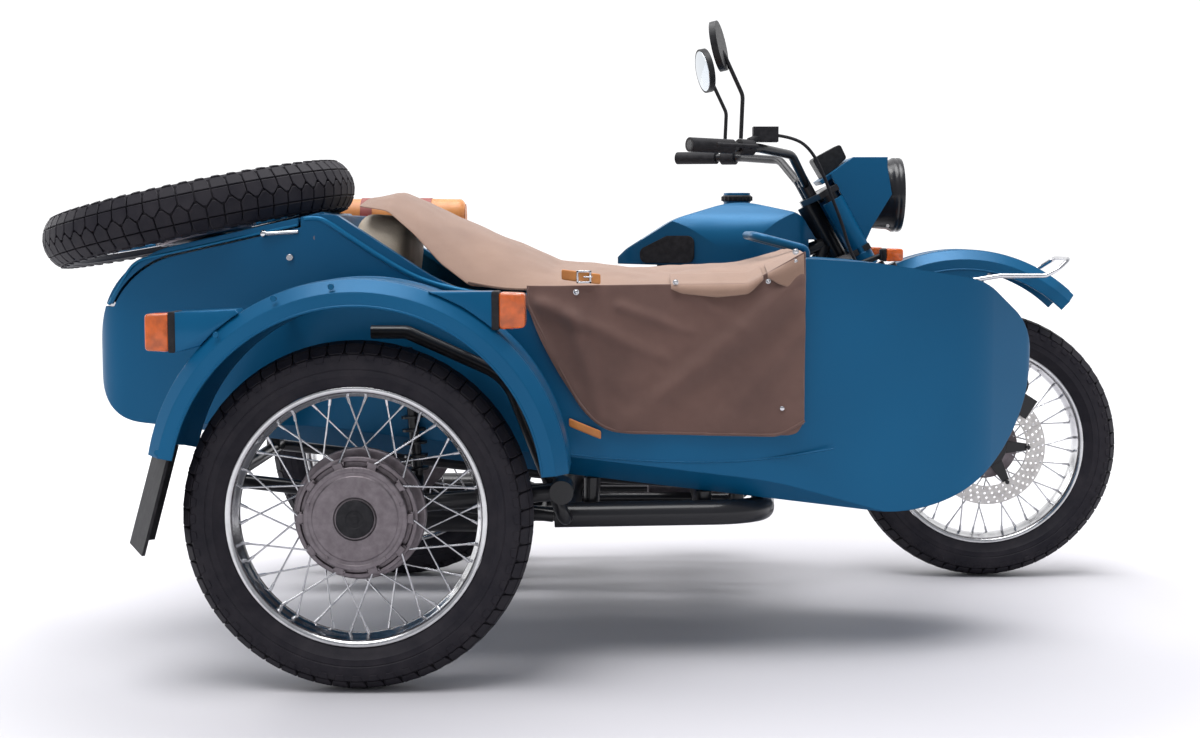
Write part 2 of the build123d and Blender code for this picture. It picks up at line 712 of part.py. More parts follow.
# Corners of the side outline, from the rear's foot forward, as shares of the tub's length and height
TUB_SIDE_SHARES = [(0.0, 0.357), (1.0, 0.0), (1.0, 0.632), (0.939, 0.784), (0.824, 0.838), (0.743, 0.854),
                   (0.691, 0.751), (0.389, 0.738), (0.261, 0.987), (0.241, 0.991), (0.0, 0.836)]
TUB_SIDE_BEND_SHARES = [0.155, 0.475, 0.178, 0.222, 0.8, 0.027, 0.107, 0.489, 0.027, 0.027, 0.327]
TUB_TOP_SHARES = [(-0.003, 0.38), (0.232, 0.50), (0.712, 0.50), (0.930, 0.33), (1.003, 0.12)]
TUB_TOP_BEND_SHARES = [0.14, 0.9, 0.9, 0.35, 0.08]
tub_bilge_height = 44.0
tub_bilge_width = 56.0


def tub_side_face():
    """The tub seen from its side."""
    side = spread(TUB_SIDE_SHARES, (tub_rear_x, tub_base), (tub_length, tub_height))
    return side_face(side, [share * tub_height for share in TUB_SIDE_BEND_SHARES])


def tub_block(inset):
    """The tub's outer form, drawn in on all sides by an inset."""
    face = tub_side_face()
    upper = [(tub_rear_x + along * tub_length, out * tub_width) for along, out in TUB_TOP_SHARES]
    bends = [share * tub_width for share in TUB_TOP_BEND_SHARES]
    plan = make_face(FilletPolyline(*upper, *[(x, -y) for x, y in reversed(upper)],
                                    radius=bends + bends[::-1], close=True))
    edge = half * tub_width
    foot = tub_floor_z(tub_rear_x)
    section = make_face(Polyline((0, edge, foot + tub_height), (0, edge, foot + tub_bilge_height),
                                 (0, edge - tub_bilge_width, foot), (0, tub_bilge_width - edge, foot),
                                 (0, -edge, foot + tub_bilge_height), (0, -edge, foot + tub_height), close=True))
    if inset > 0:
        face = offset(face, -inset)
        plan = offset(plan, -inset)
        section = offset(section, -inset)
    slope = Vector(tub_length, 0, tub_floor_z(tub_rear_x + tub_length) - foot).normalized()
    body = extrude(Pos(0, -tub_width, 0) * face, tub_width + tub_width, dir=(0, 1, 0))
    body &= extrude(plan, tub_height + tub_base + tub_height)
    body &= extrude(Pos(tub_rear_x, 0, 0) * section, tub_length + tub_bilge_width, dir=slope)
    return Pos(0, tub_centre, 0) * body


def lid_region(drop):
    """What lies over the lid's lower edge, lowered by a drop."""
    ys = (tub_centre - tub_width, tub_centre + tub_width)
    region = block((tub_rear_x - lid_skirt, lid_front_x + drop), ys, (lid_tail_z - drop, head_height + head_height))
    core = offset(tub_side_face(), -lid_skirt - drop)
    return region - extrude(Pos(0, ys[0], 0) * core, tub_width + tub_width, dir=(0, 1, 0))


def tub():
    """The hollow tub: cockpit and boot with a bulkhead between them."""
    shell = tub_block(0)
    hollow = tub_block(tub_wall)
    bulkhead = block((bulkhead_x, bulkhead_x + bulkhead_wall), (tub_centre - tub_width, tub_centre + tub_width),
                     (0, head_height + head_height))
    reach = half * tub_width - cockpit_rim
    mouth = block((bulkhead_x + bulkhead_wall, cockpit_front_x), (tub_centre - reach, tub_centre + reach),
                  (tub_base + half * tub_height, head_height + head_height))
    channel = block((lid_front_x, hinge_x + hinge_slot), (tub_centre - hinge_half - moving_gap, tub_centre + hinge_half + moving_gap),
                    (hinge_z - hinge_slot - hinge_radius, hinge_z + hinge_slot))
    return shell - (hollow - bulkhead) - mouth - lid_region(moving_gap) - channel


# Boot lid with its hinge along the front edge
deck_rear, deck_front = TUB_SIDE_SHARES[10], TUB_SIDE_SHARES[9]
deck_rise = tub_height * (deck_front[1] - deck_rear[1]) / (tub_length * (deck_front[0] - deck_rear[0]))
hinge_radius = 7.0
hinge_x = -66.0
hinge_z = 926.0
hinge_half = 190.0
hinge_knuckle = 60.0
hinge_pin = 3.5
hinge_slot = 12.0


def hinge_knuckles(places, low_z):
    """Knuckles at places along the hinge, each with a leaf down or back to its own panel."""
    knuckles = []
    for place in places:
        start = tub_centre + place
        knuckles.append(rod((hinge_x, start, hinge_z), (hinge_x, start + hinge_knuckle, hinge_z), hinge_radius))
        knuckles.append(low_z(start))
    return knuckles


def trunk_lid():
    lid = (tub_block(0) - tub_block(lid_wall)) & lid_region(0)
    leaf_x = lid_front_x - lid_skirt
    leaf_z = hinge_z - deck_rise * (hinge_x - leaf_x)
    knuckles = hinge_knuckles((-hinge_half, hinge_half - hinge_knuckle), lambda start: side_solid(
        [(hinge_x, hinge_z), (hinge_x, hinge_z + hinge_radius), (leaf_x, leaf_z + hinge_radius), (leaf_x, leaf_z - hinge_radius)],
        (start, start + hinge_knuckle)))
    pin_hole = rod((hinge_x, tub_centre - tub_width, hinge_z), (hinge_x, tub_centre + tub_width, hinge_z), hinge_pin + running_gap)
    return lid + knuckles - pin_hole


def tub_hinge():
    """The middle knuckle, which stands on the tub."""
    start = tub_centre - hinge_half + hinge_knuckle + moving_gap
    end = tub_centre + hinge_half - hinge_knuckle - moving_gap
    knuckle = rod((hinge_x, start, hinge_z), (hinge_x, end, hinge_z), hinge_radius)
    foot = block((hinge_x, hinge_x + hinge_slot + hinge_radius), (start, end), (hinge_z - hinge_slot, hinge_z))
    pin = rod((hinge_x, tub_centre - hinge_half, hinge_z), (hinge_x, tub_centre + hinge_half, hinge_z), hinge_pin)
    return knuckle + foot + pin


# Spare wheel lying on the boot lid, its cover down
spare_x = -364.0
carrier_plate_radius = 62.0
carrier_nut_radius = 38.0
carrier_nut_height = 12.0
carrier_plate = 5.0
spare_tilt = math.degrees(math.atan(deck_rise))
spare_deck_z = tub_base + tub_height * deck_rear[1] + deck_rise * (spare_x - tub_rear_x)
spare_z = spare_deck_z + (cap_face_y + carrier_plate + running_gap) / math.cos(math.atan(deck_rise))
spare_place = Pos(spare_x, tub_centre, spare_z) * Rot(0, -spare_tilt, 0) * Rot(-quarter_turn, 0, 0)


def spare_carrier():
    """The stud through the spare's hub, with its plate on the lid and its wing nut."""
    stud = turned([(drum_back_y - running_gap - carrier_nut_height, 0), (drum_back_y - running_gap - carrier_nut_height, bore_radius),
                   (cap_face_y + carrier_plate, bore_radius), (cap_face_y + carrier_plate, 0)])
    nut = turned([(drum_back_y - running_gap - carrier_nut_height, 0), (drum_back_y - running_gap - carrier_nut_height, carrier_nut_radius),
                  (drum_back_y - running_gap, carrier_nut_radius), (drum_back_y - running_gap, 0)])
    plate = turned([(cap_face_y + running_gap, 0), (cap_face_y + running_gap, carrier_plate_radius),
                    (cap_face_y + carrier_plate, carrier_plate_radius), (cap_face_y + carrier_plate, 0)])
    return spare_place * (stud + nut + plate)


# Passenger's seat: a cushion on the floor and a back against the bulkhead
seat_half = 205.0
seat_top = 918.0
seat_back_x = bulkhead_x + bulkhead_wall + running_gap
seat_back_thickness = 96.0
seat_lean = 80.0
seat_cushion_top = 560.0
seat_cushion_front = 540.0
seat_corner = 30.0


def tub_floor_z(x):
    """The height of the tub's underside at a place along it."""
    low, high = TUB_SIDE_SHARES[1][1], TUB_SIDE_SHARES[0][1]
    along = (x - tub_rear_x) / tub_length
    return tub_base + tub_height * (high + (low - high) * along)


def sidecar_seat():
    knee_x = seat_back_x + seat_back_thickness + seat_lean
    floor = tub_wall + running_gap + running_gap
    ys = (tub_centre - seat_half, tub_centre + seat_half)
    back = side_solid([(seat_back_x, tub_floor_z(seat_back_x) + floor), (knee_x, tub_floor_z(knee_x) + floor),
                       (knee_x, seat_cushion_top), (seat_back_x + seat_back_thickness, seat_top), (seat_back_x, seat_top)],
                      ys, seat_corner)
    cushion = side_solid([(knee_x - seat_corner - seat_corner, tub_floor_z(knee_x - seat_corner - seat_corner) + floor),
                          (seat_cushion_front, tub_floor_z(seat_cushion_front) + floor),
                          (seat_cushion_front, seat_cushion_top), (knee_x - seat_corner - seat_corner, seat_cushion_top)],
                         ys, seat_corner)
    return back + cushion


# Canvas cover over the cockpit, hanging down the tub's right side
cover_thickness = 5.0
cover_flap_gap = 0.3
cover_edge_lap = 6.0
# Sections from the seat to the front, as shares of the tub: place along it, half width, edge height and ridge height
COVER_SHARES = ((0.2819, 0.333, 1.0150, 1.0450), (0.3122, 0.360, 1.0000, 1.0646), (0.4009, 0.507, 0.7703, 0.9474),
                (0.4443, 0.507, 0.7598, 0.8949), (0.4846, 0.507, 0.7598, 0.8198), (0.6833, 0.507, 0.7658, 0.8363),
                (0.7428, 0.500, 0.8679, 0.8769))
# Corners of the part that hangs down the tub's side, as shares of the tub's length and height
FLAP_SHARES = ((0.4574, 0.7598), (0.4745, 0.512), (0.5209, 0.327), (0.7428, 0.312), (0.7418, 0.860), (0.6833, 0.761))


def cockpit_cover():
    sections = []
    for along, out, edge, ridge in COVER_SHARES:
        x = tub_rear_x + along * tub_length
        reach = out * tub_width
        edge_z = tub_base + edge * tub_height
        ridge_z = tub_base + ridge * tub_height
        sections.append(make_face(Polyline((x, tub_centre - reach, edge_z), (x, tub_centre, ridge_z),
                                           (x, tub_centre + reach, edge_z),
                                           (x, tub_centre + reach, edge_z - cover_thickness),
                                           (x, tub_centre, ridge_z - cover_thickness),
                                           (x, tub_centre - reach, edge_z - cover_thickness), close=True)))
    sheet = loft(sections, ruled=True)
    face_y = tub_centre - half * tub_width - cover_flap_gap
    outline = spread(FLAP_SHARES, (tub_rear_x, tub_base), (tub_length, tub_height))
    flap = side_solid(outline, (face_y - cover_thickness, face_y))
    return sheet + flap - grab_bar(cover_flap_gap)


# Blue grab bar ahead of the cockpit
grab_half = 120.0
grab_foot_x = 956.0
grab_foot_height = 18.0
grab_top_x = 845.0
grab_top_z = 884.0
grab_radius = 9.0
grab_bend = 30.0
grab_foot_bend = 14.0


def grab_bar(extra=0.0):
    rear, front = TUB_SIDE_SHARES[5], TUB_SIDE_SHARES[4]
    along = (grab_foot_x - grab_radius - tub_rear_x) / tub_length
    deck = tub_base + tub_height * (rear[1] + (front[1] - rear[1]) * (along - rear[0]) / (front[0] - rear[0]))
    path = [(grab_foot_x, grab_half, deck + running_gap), (grab_foot_x, grab_half, deck + grab_foot_height),
            (grab_top_x, grab_half, grab_top_z)]
    path += [(x, -y, z) for x, y, z in reversed(path)]
    bends = [grab_foot_bend, grab_bend, grab_bend, grab_foot_bend]
    return Pos(0, tub_centre, 0) * bent_tube(path, bends, grab_radius + extra)


# Sidecar chassis: one tube round the outside, two across, and struts to the motorcycle
chassis_radius = 26.0
chassis_z = 306.0
chassis_y = -920.0
chassis_rear_x = 424.0
chassis_front_x = 854.0
join_x = 898.0
join_z = 262.0
chassis_inner_y = -330.0
chassis_bend = 110.0
strut_radius = 15.0
cross_x = 450.0
tower_radius = 14.0
tower_y = -984.0
tower_foot_x = 448.0
tower_knee_x = 330.0
tower_knee_z = 600.0
tower_top_x = 128.0
tower_top_z = 690.0
body_post_radius = 16.0
body_posts_x = (500.0, 735.0)
body_posts_half = 235.0
tail_beam_x = -260.0
tail_beam_z = 380.0
join_pad = 22.0
pad_skin = 2.0
chassis_front_rise = 8.0
chassis_inner_x = 906.0
upper_pad_z = 655.0
upper_pad_gap = 7.0


def body_posts(x, low):
    """The pair of posts at one place that carry the tub."""
    rise = tub_height * (TUB_SIDE_SHARES[0][1] - TUB_SIDE_SHARES[1][1]) / tub_length
    top = tub_floor_z(x) - rise * body_post_radius - running_gap
    return [rod((x, y, low), (x, y, top), body_post_radius)
            for y in (tub_centre - body_posts_half, tub_centre + body_posts_half)]


def sidecar_frame():
    join_y = -cradle_half - frame_tube - running_gap
    rod_end_y = join_y - pad_skin
    front_z = chassis_z + chassis_front_rise
    outside = bent_tube([(chassis_rear_x, chassis_y, chassis_z), (chassis_front_x, chassis_y, front_z),
                         (chassis_inner_x, chassis_inner_y, chassis_z - chassis_radius), (join_x, rod_end_y, join_z)],
                        [chassis_bend, chassis_bend], chassis_radius)
    across = rod((cross_x, chassis_y, chassis_z), (cross_x, rod_end_y, chassis_z), chassis_radius)
    posts = [post for x in body_posts_x for post in body_posts(x, chassis_z)]
    beams = [rod((x, chassis_y, chassis_z), (x, chassis_inner_y, chassis_z), strut_radius) for x in body_posts_x]
    rail = rod((cross_x, chassis_inner_y, chassis_z), (chassis_inner_x, chassis_inner_y, chassis_z - chassis_radius), strut_radius)
    # Each pad meets one of the motorcycle's tubes: its middle and the tube's outer side there
    upper_y = -seat_rail_half - frame_tube - upper_pad_gap
    seat_x = seat_rail_x + half * frame_tube
    front_x = down_tube_x - half * frame_tube
    front_pad_z = down_tube_z - join_pad
    pads = []
    for x, y, z in ((join_x, join_y, join_z), (cross_x - frame_tube, join_y, chassis_z),
                    (front_x, join_y, front_pad_z), (seat_x, upper_y, upper_pad_z)):
        pads.append(block((x - join_pad, x + join_pad), (y - join_pad, y), (z - join_pad, z + join_pad)))
    struts = [rod((cross_x + strut_radius, chassis_inner_y, chassis_z), (seat_x, upper_y - pad_skin, upper_pad_z), strut_radius),
              rod((chassis_inner_x, chassis_inner_y, chassis_z - chassis_radius), (front_x, rod_end_y, front_pad_z), strut_radius)]
    lower = outside + across + posts + beams + rail
    for member in (struts[1] + pads[2], pads[0], pads[1]):
        lower += member
    lower -= block((0, wheelbase), (join_y, 0), (0, head_height))
    upper = struts[0] + pads[3] - block((0, wheelbase), (upper_y, 0), (0, head_height))
    return lower + upper


def tail_frame():
    """Two tubes back from the cross tube, joined behind, which carry the tub's rear."""
    starts = ((chassis_rear_x - pad_skin, chassis_y), (cross_x - chassis_radius - running_gap, chassis_inner_y))
    legs = [rod((x, y, chassis_z), (tail_beam_x, y, tail_beam_z), strut_radius) for x, y in starts]
    tail = rod((tail_beam_x, chassis_y, tail_beam_z), (tail_beam_x, chassis_inner_y, tail_beam_z), strut_radius)
    return tail + legs + body_posts(tail_beam_x, tail_beam_z)


def spring_tower():
    """The bent tube that stands on the chassis and holds the sidecar spring's upper end."""
    foot_y = chassis_y - chassis_radius - running_gap
    top_end_x = tower_top_x - spring_radius - spring_radius - spring_radius
    return bent_tube([(tower_foot_x, foot_y, chassis_z), (tower_foot_x, tower_y, chassis_z),
                      (tower_knee_x, tower_y, tower_knee_z), (tower_top_x, tower_y, tower_top_z), (top_end_x, tower_y, tower_top_z)],
                     [tower_radius + tower_radius, chassis_bend, tower_radius + tower_radius], tower_radius)


# Sidecar swinging arm with the sidecar axle, and its spring
side_pivot_x = 443.0
side_pivot_z = 376.0
side_arm_y = -1052.0
side_arm_radius = 18.0
side_boss = 24.0
side_spring_x = 150.0
side_spring_foot_z = 382.0


def side_arm():
    boss = rod((side_pivot_x, tower_y - tower_radius - running_gap, side_pivot_z), (side_pivot_x, side_arm_y - side_boss, side_pivot_z), side_boss)
    arm = rod((side_pivot_x, side_arm_y, side_pivot_z), (wheel_lead, side_arm_y, tyre_radius), side_arm_radius)
    end = rod((wheel_lead, side_arm_y - side_boss, tyre_radius), (wheel_lead, side_arm_y + side_boss, tyre_radius), side_boss)
    axle = rod((wheel_lead, side_arm_y, tyre_radius), (wheel_lead, -track - cap_face_y + carrier_plate, tyre_radius), bore_radius)
    lug = rod((side_spring_x, side_arm_y, tyre_radius + half * side_arm_radius), (side_spring_x, tower_y, side_spring_foot_z + damper_radius), damper_radius)
    unit = spring_unit((side_spring_x, tower_y, side_spring_foot_z), (tower_top_x, tower_y, tower_top_z - tower_radius - spring_eye),
                       spring_radius, coil_wire, spring_coils)
    return boss + arm + end + axle + lug + unit


# Sidecar mudguard with its stays, lamps and mud flap
side_guard_x = 60.0
side_guard_z = 400.0
side_guard_radius = 404.0
side_guard_width = 210.0
side_guard_start = 5.0
side_guard_sweep = 165.0
stay_radius = 8.0
stay_angles = (55.0, 118.0)


def side_guard_inner_y():
    return -track + half * side_guard_width


def sidecar_fender():
    band = mudguard(side_guard_radius, side_guard_width, side_guard_start, side_guard_sweep)
    return Pos(side_guard_x, -track, side_guard_z) * band


def fender_stays():
    """Stays from the spring tower and the tub's side to the mudguard."""
    y = side_guard_inner_y()
    height = side_guard_radius - half * guard_skirt
    stays = []
    for angle in stay_angles:
        x = side_guard_x + height * math.cos(math.radians(angle))
        z = side_guard_z + height * math.sin(math.radians(angle))
        stays.append(rod((x, y + running_gap, z), (x, tub_centre - half * tub_width - running_gap, z), stay_radius))
    return Part() + stays


lamp_span_y = 66.0
lamp_outer_y = -1228.0
# Corners of the front and rear lamp housings, seen from the side
FRONT_LAMP_CORNERS = ((190.0, 781.0), (328.0, 781.0), (328.0, 707.0), (270.0, 707.0))
REAR_LAMP_CORNERS = ((-160.0, 748.0), (-290.0, 742.0), (-290.0, 664.0), (-240.0, 660.0))
lens_length = 50.0
lens_gap = 3.0


def fender_lamps():
    ys = (lamp_outer_y, lamp_outer_y + lamp_span_y)
    housings = side_solid(FRONT_LAMP_CORNERS, ys) + side_solid(REAR_LAMP_CORNERS, ys)
    clear = Pos(side_guard_x, 0, side_guard_z) * turned([(-tub_width, 0), (-tub_width, side_guard_radius + running_gap),
                                                        (tub_width, side_guard_radius + running_gap), (tub_width, 0)])
    housings -= Pos(0, -track, 0) * clear
    front_x, front_top = FRONT_LAMP_CORNERS[1]
    rear_x, rear_top = REAR_LAMP_CORNERS[1]
    front = block((front_x, front_x + lens_gap + lens_length), ys, (FRONT_LAMP_CORNERS[2][1], front_top))
    rear = block((rear_x - lens_length, rear_x), ys, (REAR_LAMP_CORNERS[2][1], rear_top))
    return housings + front + rear


# Rubber flap behind the sidecar wheel, turned a little outwards, its inner part bent forward
flap_thickness = 6.0
flap_outer = 88.0
flap_inner = 62.0
flap_wrap = 46.0
flap_wrap_out = 22.0
flap_turn = 24.0
flap_top_z = 500.0
flap_drop = 220.0
flap_lean = 60.0
flap_x = -322.0
flap_gap = 0.5


def mud_flap():
    band = flap_thickness
    plan = make_face(Polyline((0, -flap_outer), (0, flap_inner), (flap_wrap, flap_inner + flap_wrap_out),
                              (flap_wrap - band, flap_inner + flap_wrap_out + band), (-band, flap_inner + half * band),
                              (-band, -flap_outer), close=True))
    fall = Vector(-flap_lean, 0, -flap_drop)
    flap = Pos(flap_x, -track, flap_top_z) * (Rot(0, 0, flap_turn) * extrude(plan, fall.length, dir=fall.normalized()))
    reach = side_guard_radius + side_guard_radius
    above = block((0, reach), (-reach, reach), (-reach, flap_gap))
    return flap - Pos(side_guard_x, -track, side_guard_z) * (Rot(0, -side_guard_start - side_guard_sweep, 0) * above)


# Front fork: two clamps on the steering head, and two legs down to the links behind the axle
fork_ahead = 50.0
fork_leg = 18.0
clamp_thickness = 15.0
clamp_back = 14.0
clamp_back_half = 14.0
clamp_edge = 26.0
leg_top = 94.0
leg_bend_down = 205.0
link_pivot_back = 178.0
link_pivot_z = 330.0
leg_bend = 260.0
link_thickness = 8.0
link_gap = 0.3
cover_radius = 27.0
cover_top = 62.0
cover_bottom = -128.0


def clamp_plate(low, grow=0.0):
    edge = clamp_edge + grow
    outline = [(-clamp_back, -clamp_back_half), (-clamp_back, clamp_back_half), (fork_ahead - edge, fork_half + edge),
               (fork_ahead + edge, fork_half + edge), (fork_ahead + edge, -fork_half - edge), (fork_ahead - edge, -fork_half - edge)]
    return steer * extrude(Pos(0, 0, low - grow) * make_face(Polyline(*outline, close=True)), clamp_thickness + grow + grow)


def fork():
    top = on_steer(fork_ahead, fork_half, leg_top)
    knee = on_steer(fork_ahead, fork_half, -leg_bend_down)
    foot = (wheelbase - link_pivot_back, fork_half, link_pivot_z)
    leg = bent_tube([top, knee, foot], leg_bend, fork_leg)
    inner = fork_half - fork_leg
    eye = rod((wheelbase - link_pivot_back, inner, link_pivot_z), (wheelbase - link_pivot_back, fork_half + fork_leg, link_pivot_z),
              fork_leg + link_thickness)
    upper = clamp_plate(head_tube_up + running_gap)
    lower = clamp_plate(-head_tube_down - running_gap - clamp_thickness)
    return upper + lower + both_sides(leg + eye)


def fork_covers():
    tube = Cylinder(cover_radius, cover_top - cover_bottom) - Cylinder(fork_leg + running_gap, cover_top - cover_bottom)
    middle = half * (cover_top + cover_bottom)
    covers = steer * (Pos(fork_ahead, fork_half, middle) * tube)
    gap = clamp_plate(-head_tube_down - running_gap - clamp_thickness)
    return both_sides(covers - gap)


front_spring_x = 28.0
front_spring_z = 24.0
front_spring_radius = 21.0
front_spring_ahead = 104.0
front_spring_top = -150.0
lug_gap = 0.9


def fork_links():
    """Leading links with the front axle and the two front springs."""
    outer = fork_half - fork_leg - link_gap
    pivot = (wheelbase - link_pivot_back, link_pivot_z)
    arm = side_solid([(pivot[0] - fork_leg, pivot[1] - fork_leg), (wheelbase + fork_leg, tyre_radius - fork_leg),
                      (wheelbase + fork_leg, tyre_radius + fork_leg), (pivot[0] - fork_leg, pivot[1] + fork_leg)],
                     (outer - link_thickness, outer), fork_leg - link_thickness)
    foot = (wheelbase - front_spring_x, fork_half, tyre_radius + front_spring_z)
    top = on_steer(front_spring_ahead, fork_half, front_spring_top)
    unit = spring_unit(foot, top, front_spring_radius, coil_wire, spring_coils)
    peg_z = foot[2] + half * damper_radius
    peg = rod((foot[0], outer - link_thickness, peg_z), (foot[0], fork_half + damper_radius, peg_z), damper_radius)
    ear = block((foot[0] - fork_leg, foot[0] + fork_leg), (outer - link_thickness, outer), (tyre_radius, peg_z + damper_radius))
    axle = rod((wheelbase, -outer - half * link_thickness, tyre_radius), (wheelbase, outer + half * link_thickness, tyre_radius), bore_radius)
    return both_sides(arm + unit + peg + ear) + axle


def spring_lugs():
    """Lugs on the fork's legs that hold the front springs' upper ends."""
    height = front_spring_top - damper_radius - lug_gap
    top = on_steer(front_spring_ahead - damper_radius - lug_gap, fork_half, height)
    leg = on_steer(fork_ahead, fork_half, height)
    return both_sides(rod(leg, top, damper_radius))


# Front mudguard, carried high on the fork's legs
front_guard_x = 1434.0
front_guard_z = 436.0
front_guard_radius = 409.0
front_guard_width = 140.0
front_guard_start = 46.0
front_guard_sweep = 72.0
front_stay_height = 22.0
front_stay_z = 752.0
front_stay_reach = 60.0
# Corners of the deeper middle of each side, as shares of the mudguard's radius
CHEEK_SHARES = ((-0.24, 0.90), (-0.19, 0.764), (0.10, 0.764), (0.17, 0.90))


def front_fender():
    band = mudguard(front_guard_radius, front_guard_width, front_guard_start, front_guard_sweep)
    band = Pos(front_guard_x, 0, front_guard_z) * band
    leg_x = on_steer(fork_ahead, 0, -leg_bend_down).X
    stay = block((leg_x, leg_x + front_stay_reach), (half * front_guard_width, fork_half - fork_leg),
                 (front_stay_z - front_stay_height, front_stay_z))
    cheek = spread(CHEEK_SHARES, (front_guard_x, front_guard_z), (front_guard_radius, front_guard_radius))
    cheek = side_solid(cheek, (half * front_guard_width - guard_wall, half * front_guard_width))
    return band + both_sides(stay + cheek)


# Chrome bar on each side of the front mudguard, as shares of the mudguard's radius and half its width
guard_bar_radius = 6.0
guard_bar_bend = 30.0
guard_foot_bend = 12.0
GUARD_BAR_SHARES = ((-0.071, 1.0, 0.797), (-0.071, 1.36, 0.797), (0.205, 1.42, 0.842), (0.482, 1.42, 0.842),
                    (0.567, 1.36, 0.884), (0.645, 1.0, 0.944))


def fender_guard():
    left = []
    for along, out, up in GUARD_BAR_SHARES:
        left.append((front_guard_x + along * front_guard_radius, running_gap + out * half * front_guard_width,
                     front_guard_z + up * front_guard_radius))
    right = [(x, -y, z) for x, y, z in reversed(left)]
    bends = [guard_foot_bend] + [guard_bar_bend] * (len(left) - 2)
    return bent_tube(left + right, bends + bends[::-1], guard_bar_radius)


# Headlamp with its bucket, bezel and glass
lamp_x = 1245.0
lamp_centre_z = 985.0
bucket_radius = 87.0
bucket_length = 90.0
bucket_back_radius = 46.0
bezel_radius = 95.0
bezel_length = 36.0
bezel_lip = 8.0
glass_set_back = 18.0
glass_dome = 14.0


def around_lamp(points):
    outline = make_face(Polyline(*points, close=True))
    return Pos(0, 0, lamp_centre_z) * revolve(outline, Axis.X, full_turn)


def headlamp():
    return around_lamp([(lamp_x - bucket_length, 0), (lamp_x - bucket_length, bucket_back_radius),
                        (lamp_x - half * bucket_length, bucket_radius), (lamp_x, bucket_radius), (lamp_x, bezel_radius),
                        (lamp_x + bezel_length, bezel_radius), (lamp_x + bezel_length, bezel_radius - bezel_lip),
                        (lamp_x + glass_set_back, bezel_radius - bezel_lip), (lamp_x + glass_set_back, 0)])


def headlamp_glass():
    radius = bezel_radius - bezel_lip - running_gap
    start = lamp_x + glass_set_back + running_gap
    return around_lamp([(start, 0), (start, radius), (start + half * glass_dome, radius), (start + glass_dome, half * radius),
                        (start + glass_dome, 0)])


# Blue nacelle: ears from the fork covers to the lamp, and the panel over them
ear_half = 96.0
ear_thickness = 5.0
EAR_CORNERS = ((1072.0, 1010.0), (1150.0, 1062.0), (1232.0, 1054.0), (1244.0, 985.0), (1196.0, 905.0), (1172.0, 850.0),
               (1120.0, 880.0))
PANEL_CORNERS = ((1072.0, 1010.0), (1150.0, 1062.0), (1232.0, 1054.0), (1232.0, 1078.0), (1146.0, 1078.0), (1064.0, 1018.0))


def nacelle():
    ear = side_solid(EAR_CORNERS, (ear_half - ear_thickness, ear_half))
    reach = leg_top + cover_radius
    tube = Cylinder(cover_radius + running_gap, reach - cover_bottom)
    gap = steer * (Pos(fork_ahead, fork_half, half * (reach + cover_bottom)) * tube)
    panel = side_solid(PANEL_CORNERS, (-ear_half, ear_half))
    bucket = around_lamp([(lamp_x - bucket_length - running_gap, 0), (lamp_x - bucket_length - running_gap, bucket_radius + running_gap),
                          (lamp_x, bucket_radius + running_gap), (lamp_x, 0)])
    clamp = clamp_plate(head_tube_up + running_gap, running_gap)
    return panel + both_sides(ear) - both_sides(gap) - bucket - clamp


# Instrument, handlebar, controls and mirrors
DIAL_CORNERS = ((1048.0, 1074.0), (1119.0, 1113.0), (1136.0, 1078.0), (1079.0, 1022.0))
dial_half = 44.0


def instrument():
    return side_solid(DIAL_CORNERS, (-dial_half, dial_half), frame_tube * half) - side_solid(PANEL_CORNERS, (-ear_half, ear_half))


bar_radius = 11.0
bar_bend = 60.0
BAR_PLACES = ((1030.0, 66.0, 1012.0), (985.0, 160.0, 1080.0), (892.0, 286.0, 1092.0))
bar_end_x = 722.0
bar_end_z = 1095.0
grip_radius = 17.0
grip_length = 125.0
riser_half = 40.0
riser_radius = 15.0


def handlebar():
    left = [(bar_end_x, bar_half, bar_end_z)] + [place for place in reversed(BAR_PLACES)]
    right = [(x, -y, z) for x, y, z in reversed(left)]
    tube = bent_tube(left + right, bar_bend, bar_radius)
    foot = head_tube_up + running_gap + clamp_thickness
    middle = steer.to_local_coords(Vector(BAR_PLACES[0][0], 0, BAR_PLACES[0][2]))
    risers = [rod(on_steer(middle.X, y, foot), on_steer(middle.X, y, middle.Z + riser_radius), riser_radius)
              for y in (-riser_half, riser_half)]
    return tube + risers


lever_radius = 5.0
lever_ahead = 46.0
perch_radius = 19.0
perch_length = 40.0
reservoir_size = 44.0
reservoir_length = 60.0
reservoir_height = 36.0
reservoir_ahead = 49.0
reservoir_in = 32.0
reservoir_up = 32.0
master_up = 14.0
master_radius = 9.0


def controls():
    """Grips, perches and levers, and the brake fluid box on the right."""
    end = Vector(bar_end_x, bar_half, bar_end_z)
    inner = Vector(*BAR_PLACES[2])
    way = (end - inner).normalized()
    across = Vector(-way.Y, way.X, 0).normalized() * -1
    grip = rod(end - way * grip_length, end, grip_radius)
    perch = rod(end - way * (grip_length + perch_length + perch_radius), end - way * (grip_length + perch_radius), perch_radius)
    start = end - way * (grip_length + perch_length)
    lever = rod(start, start + across * lever_ahead, lever_radius)
    lever += rod(start + across * lever_ahead, end + across * lever_ahead - way * lever_ahead, lever_radius)
    hole = rod(inner, end + way * perch_length, bar_radius)
    side = grip + perch + lever
    box = Pos(start.X + reservoir_ahead, reservoir_in - start.Y, start.Z + reservoir_up)
    box *= Box(reservoir_length, reservoir_size, reservoir_height)
    root = end - way * (grip_length + perch_radius + perch_length - master_radius)
    master = rod((root.X, -root.Y, root.Z + master_up), (start.X + reservoir_ahead, reservoir_in - start.Y, start.Z + reservoir_up),
                 master_radius)
    return both_sides(side) + box + master - both_sides(hole)


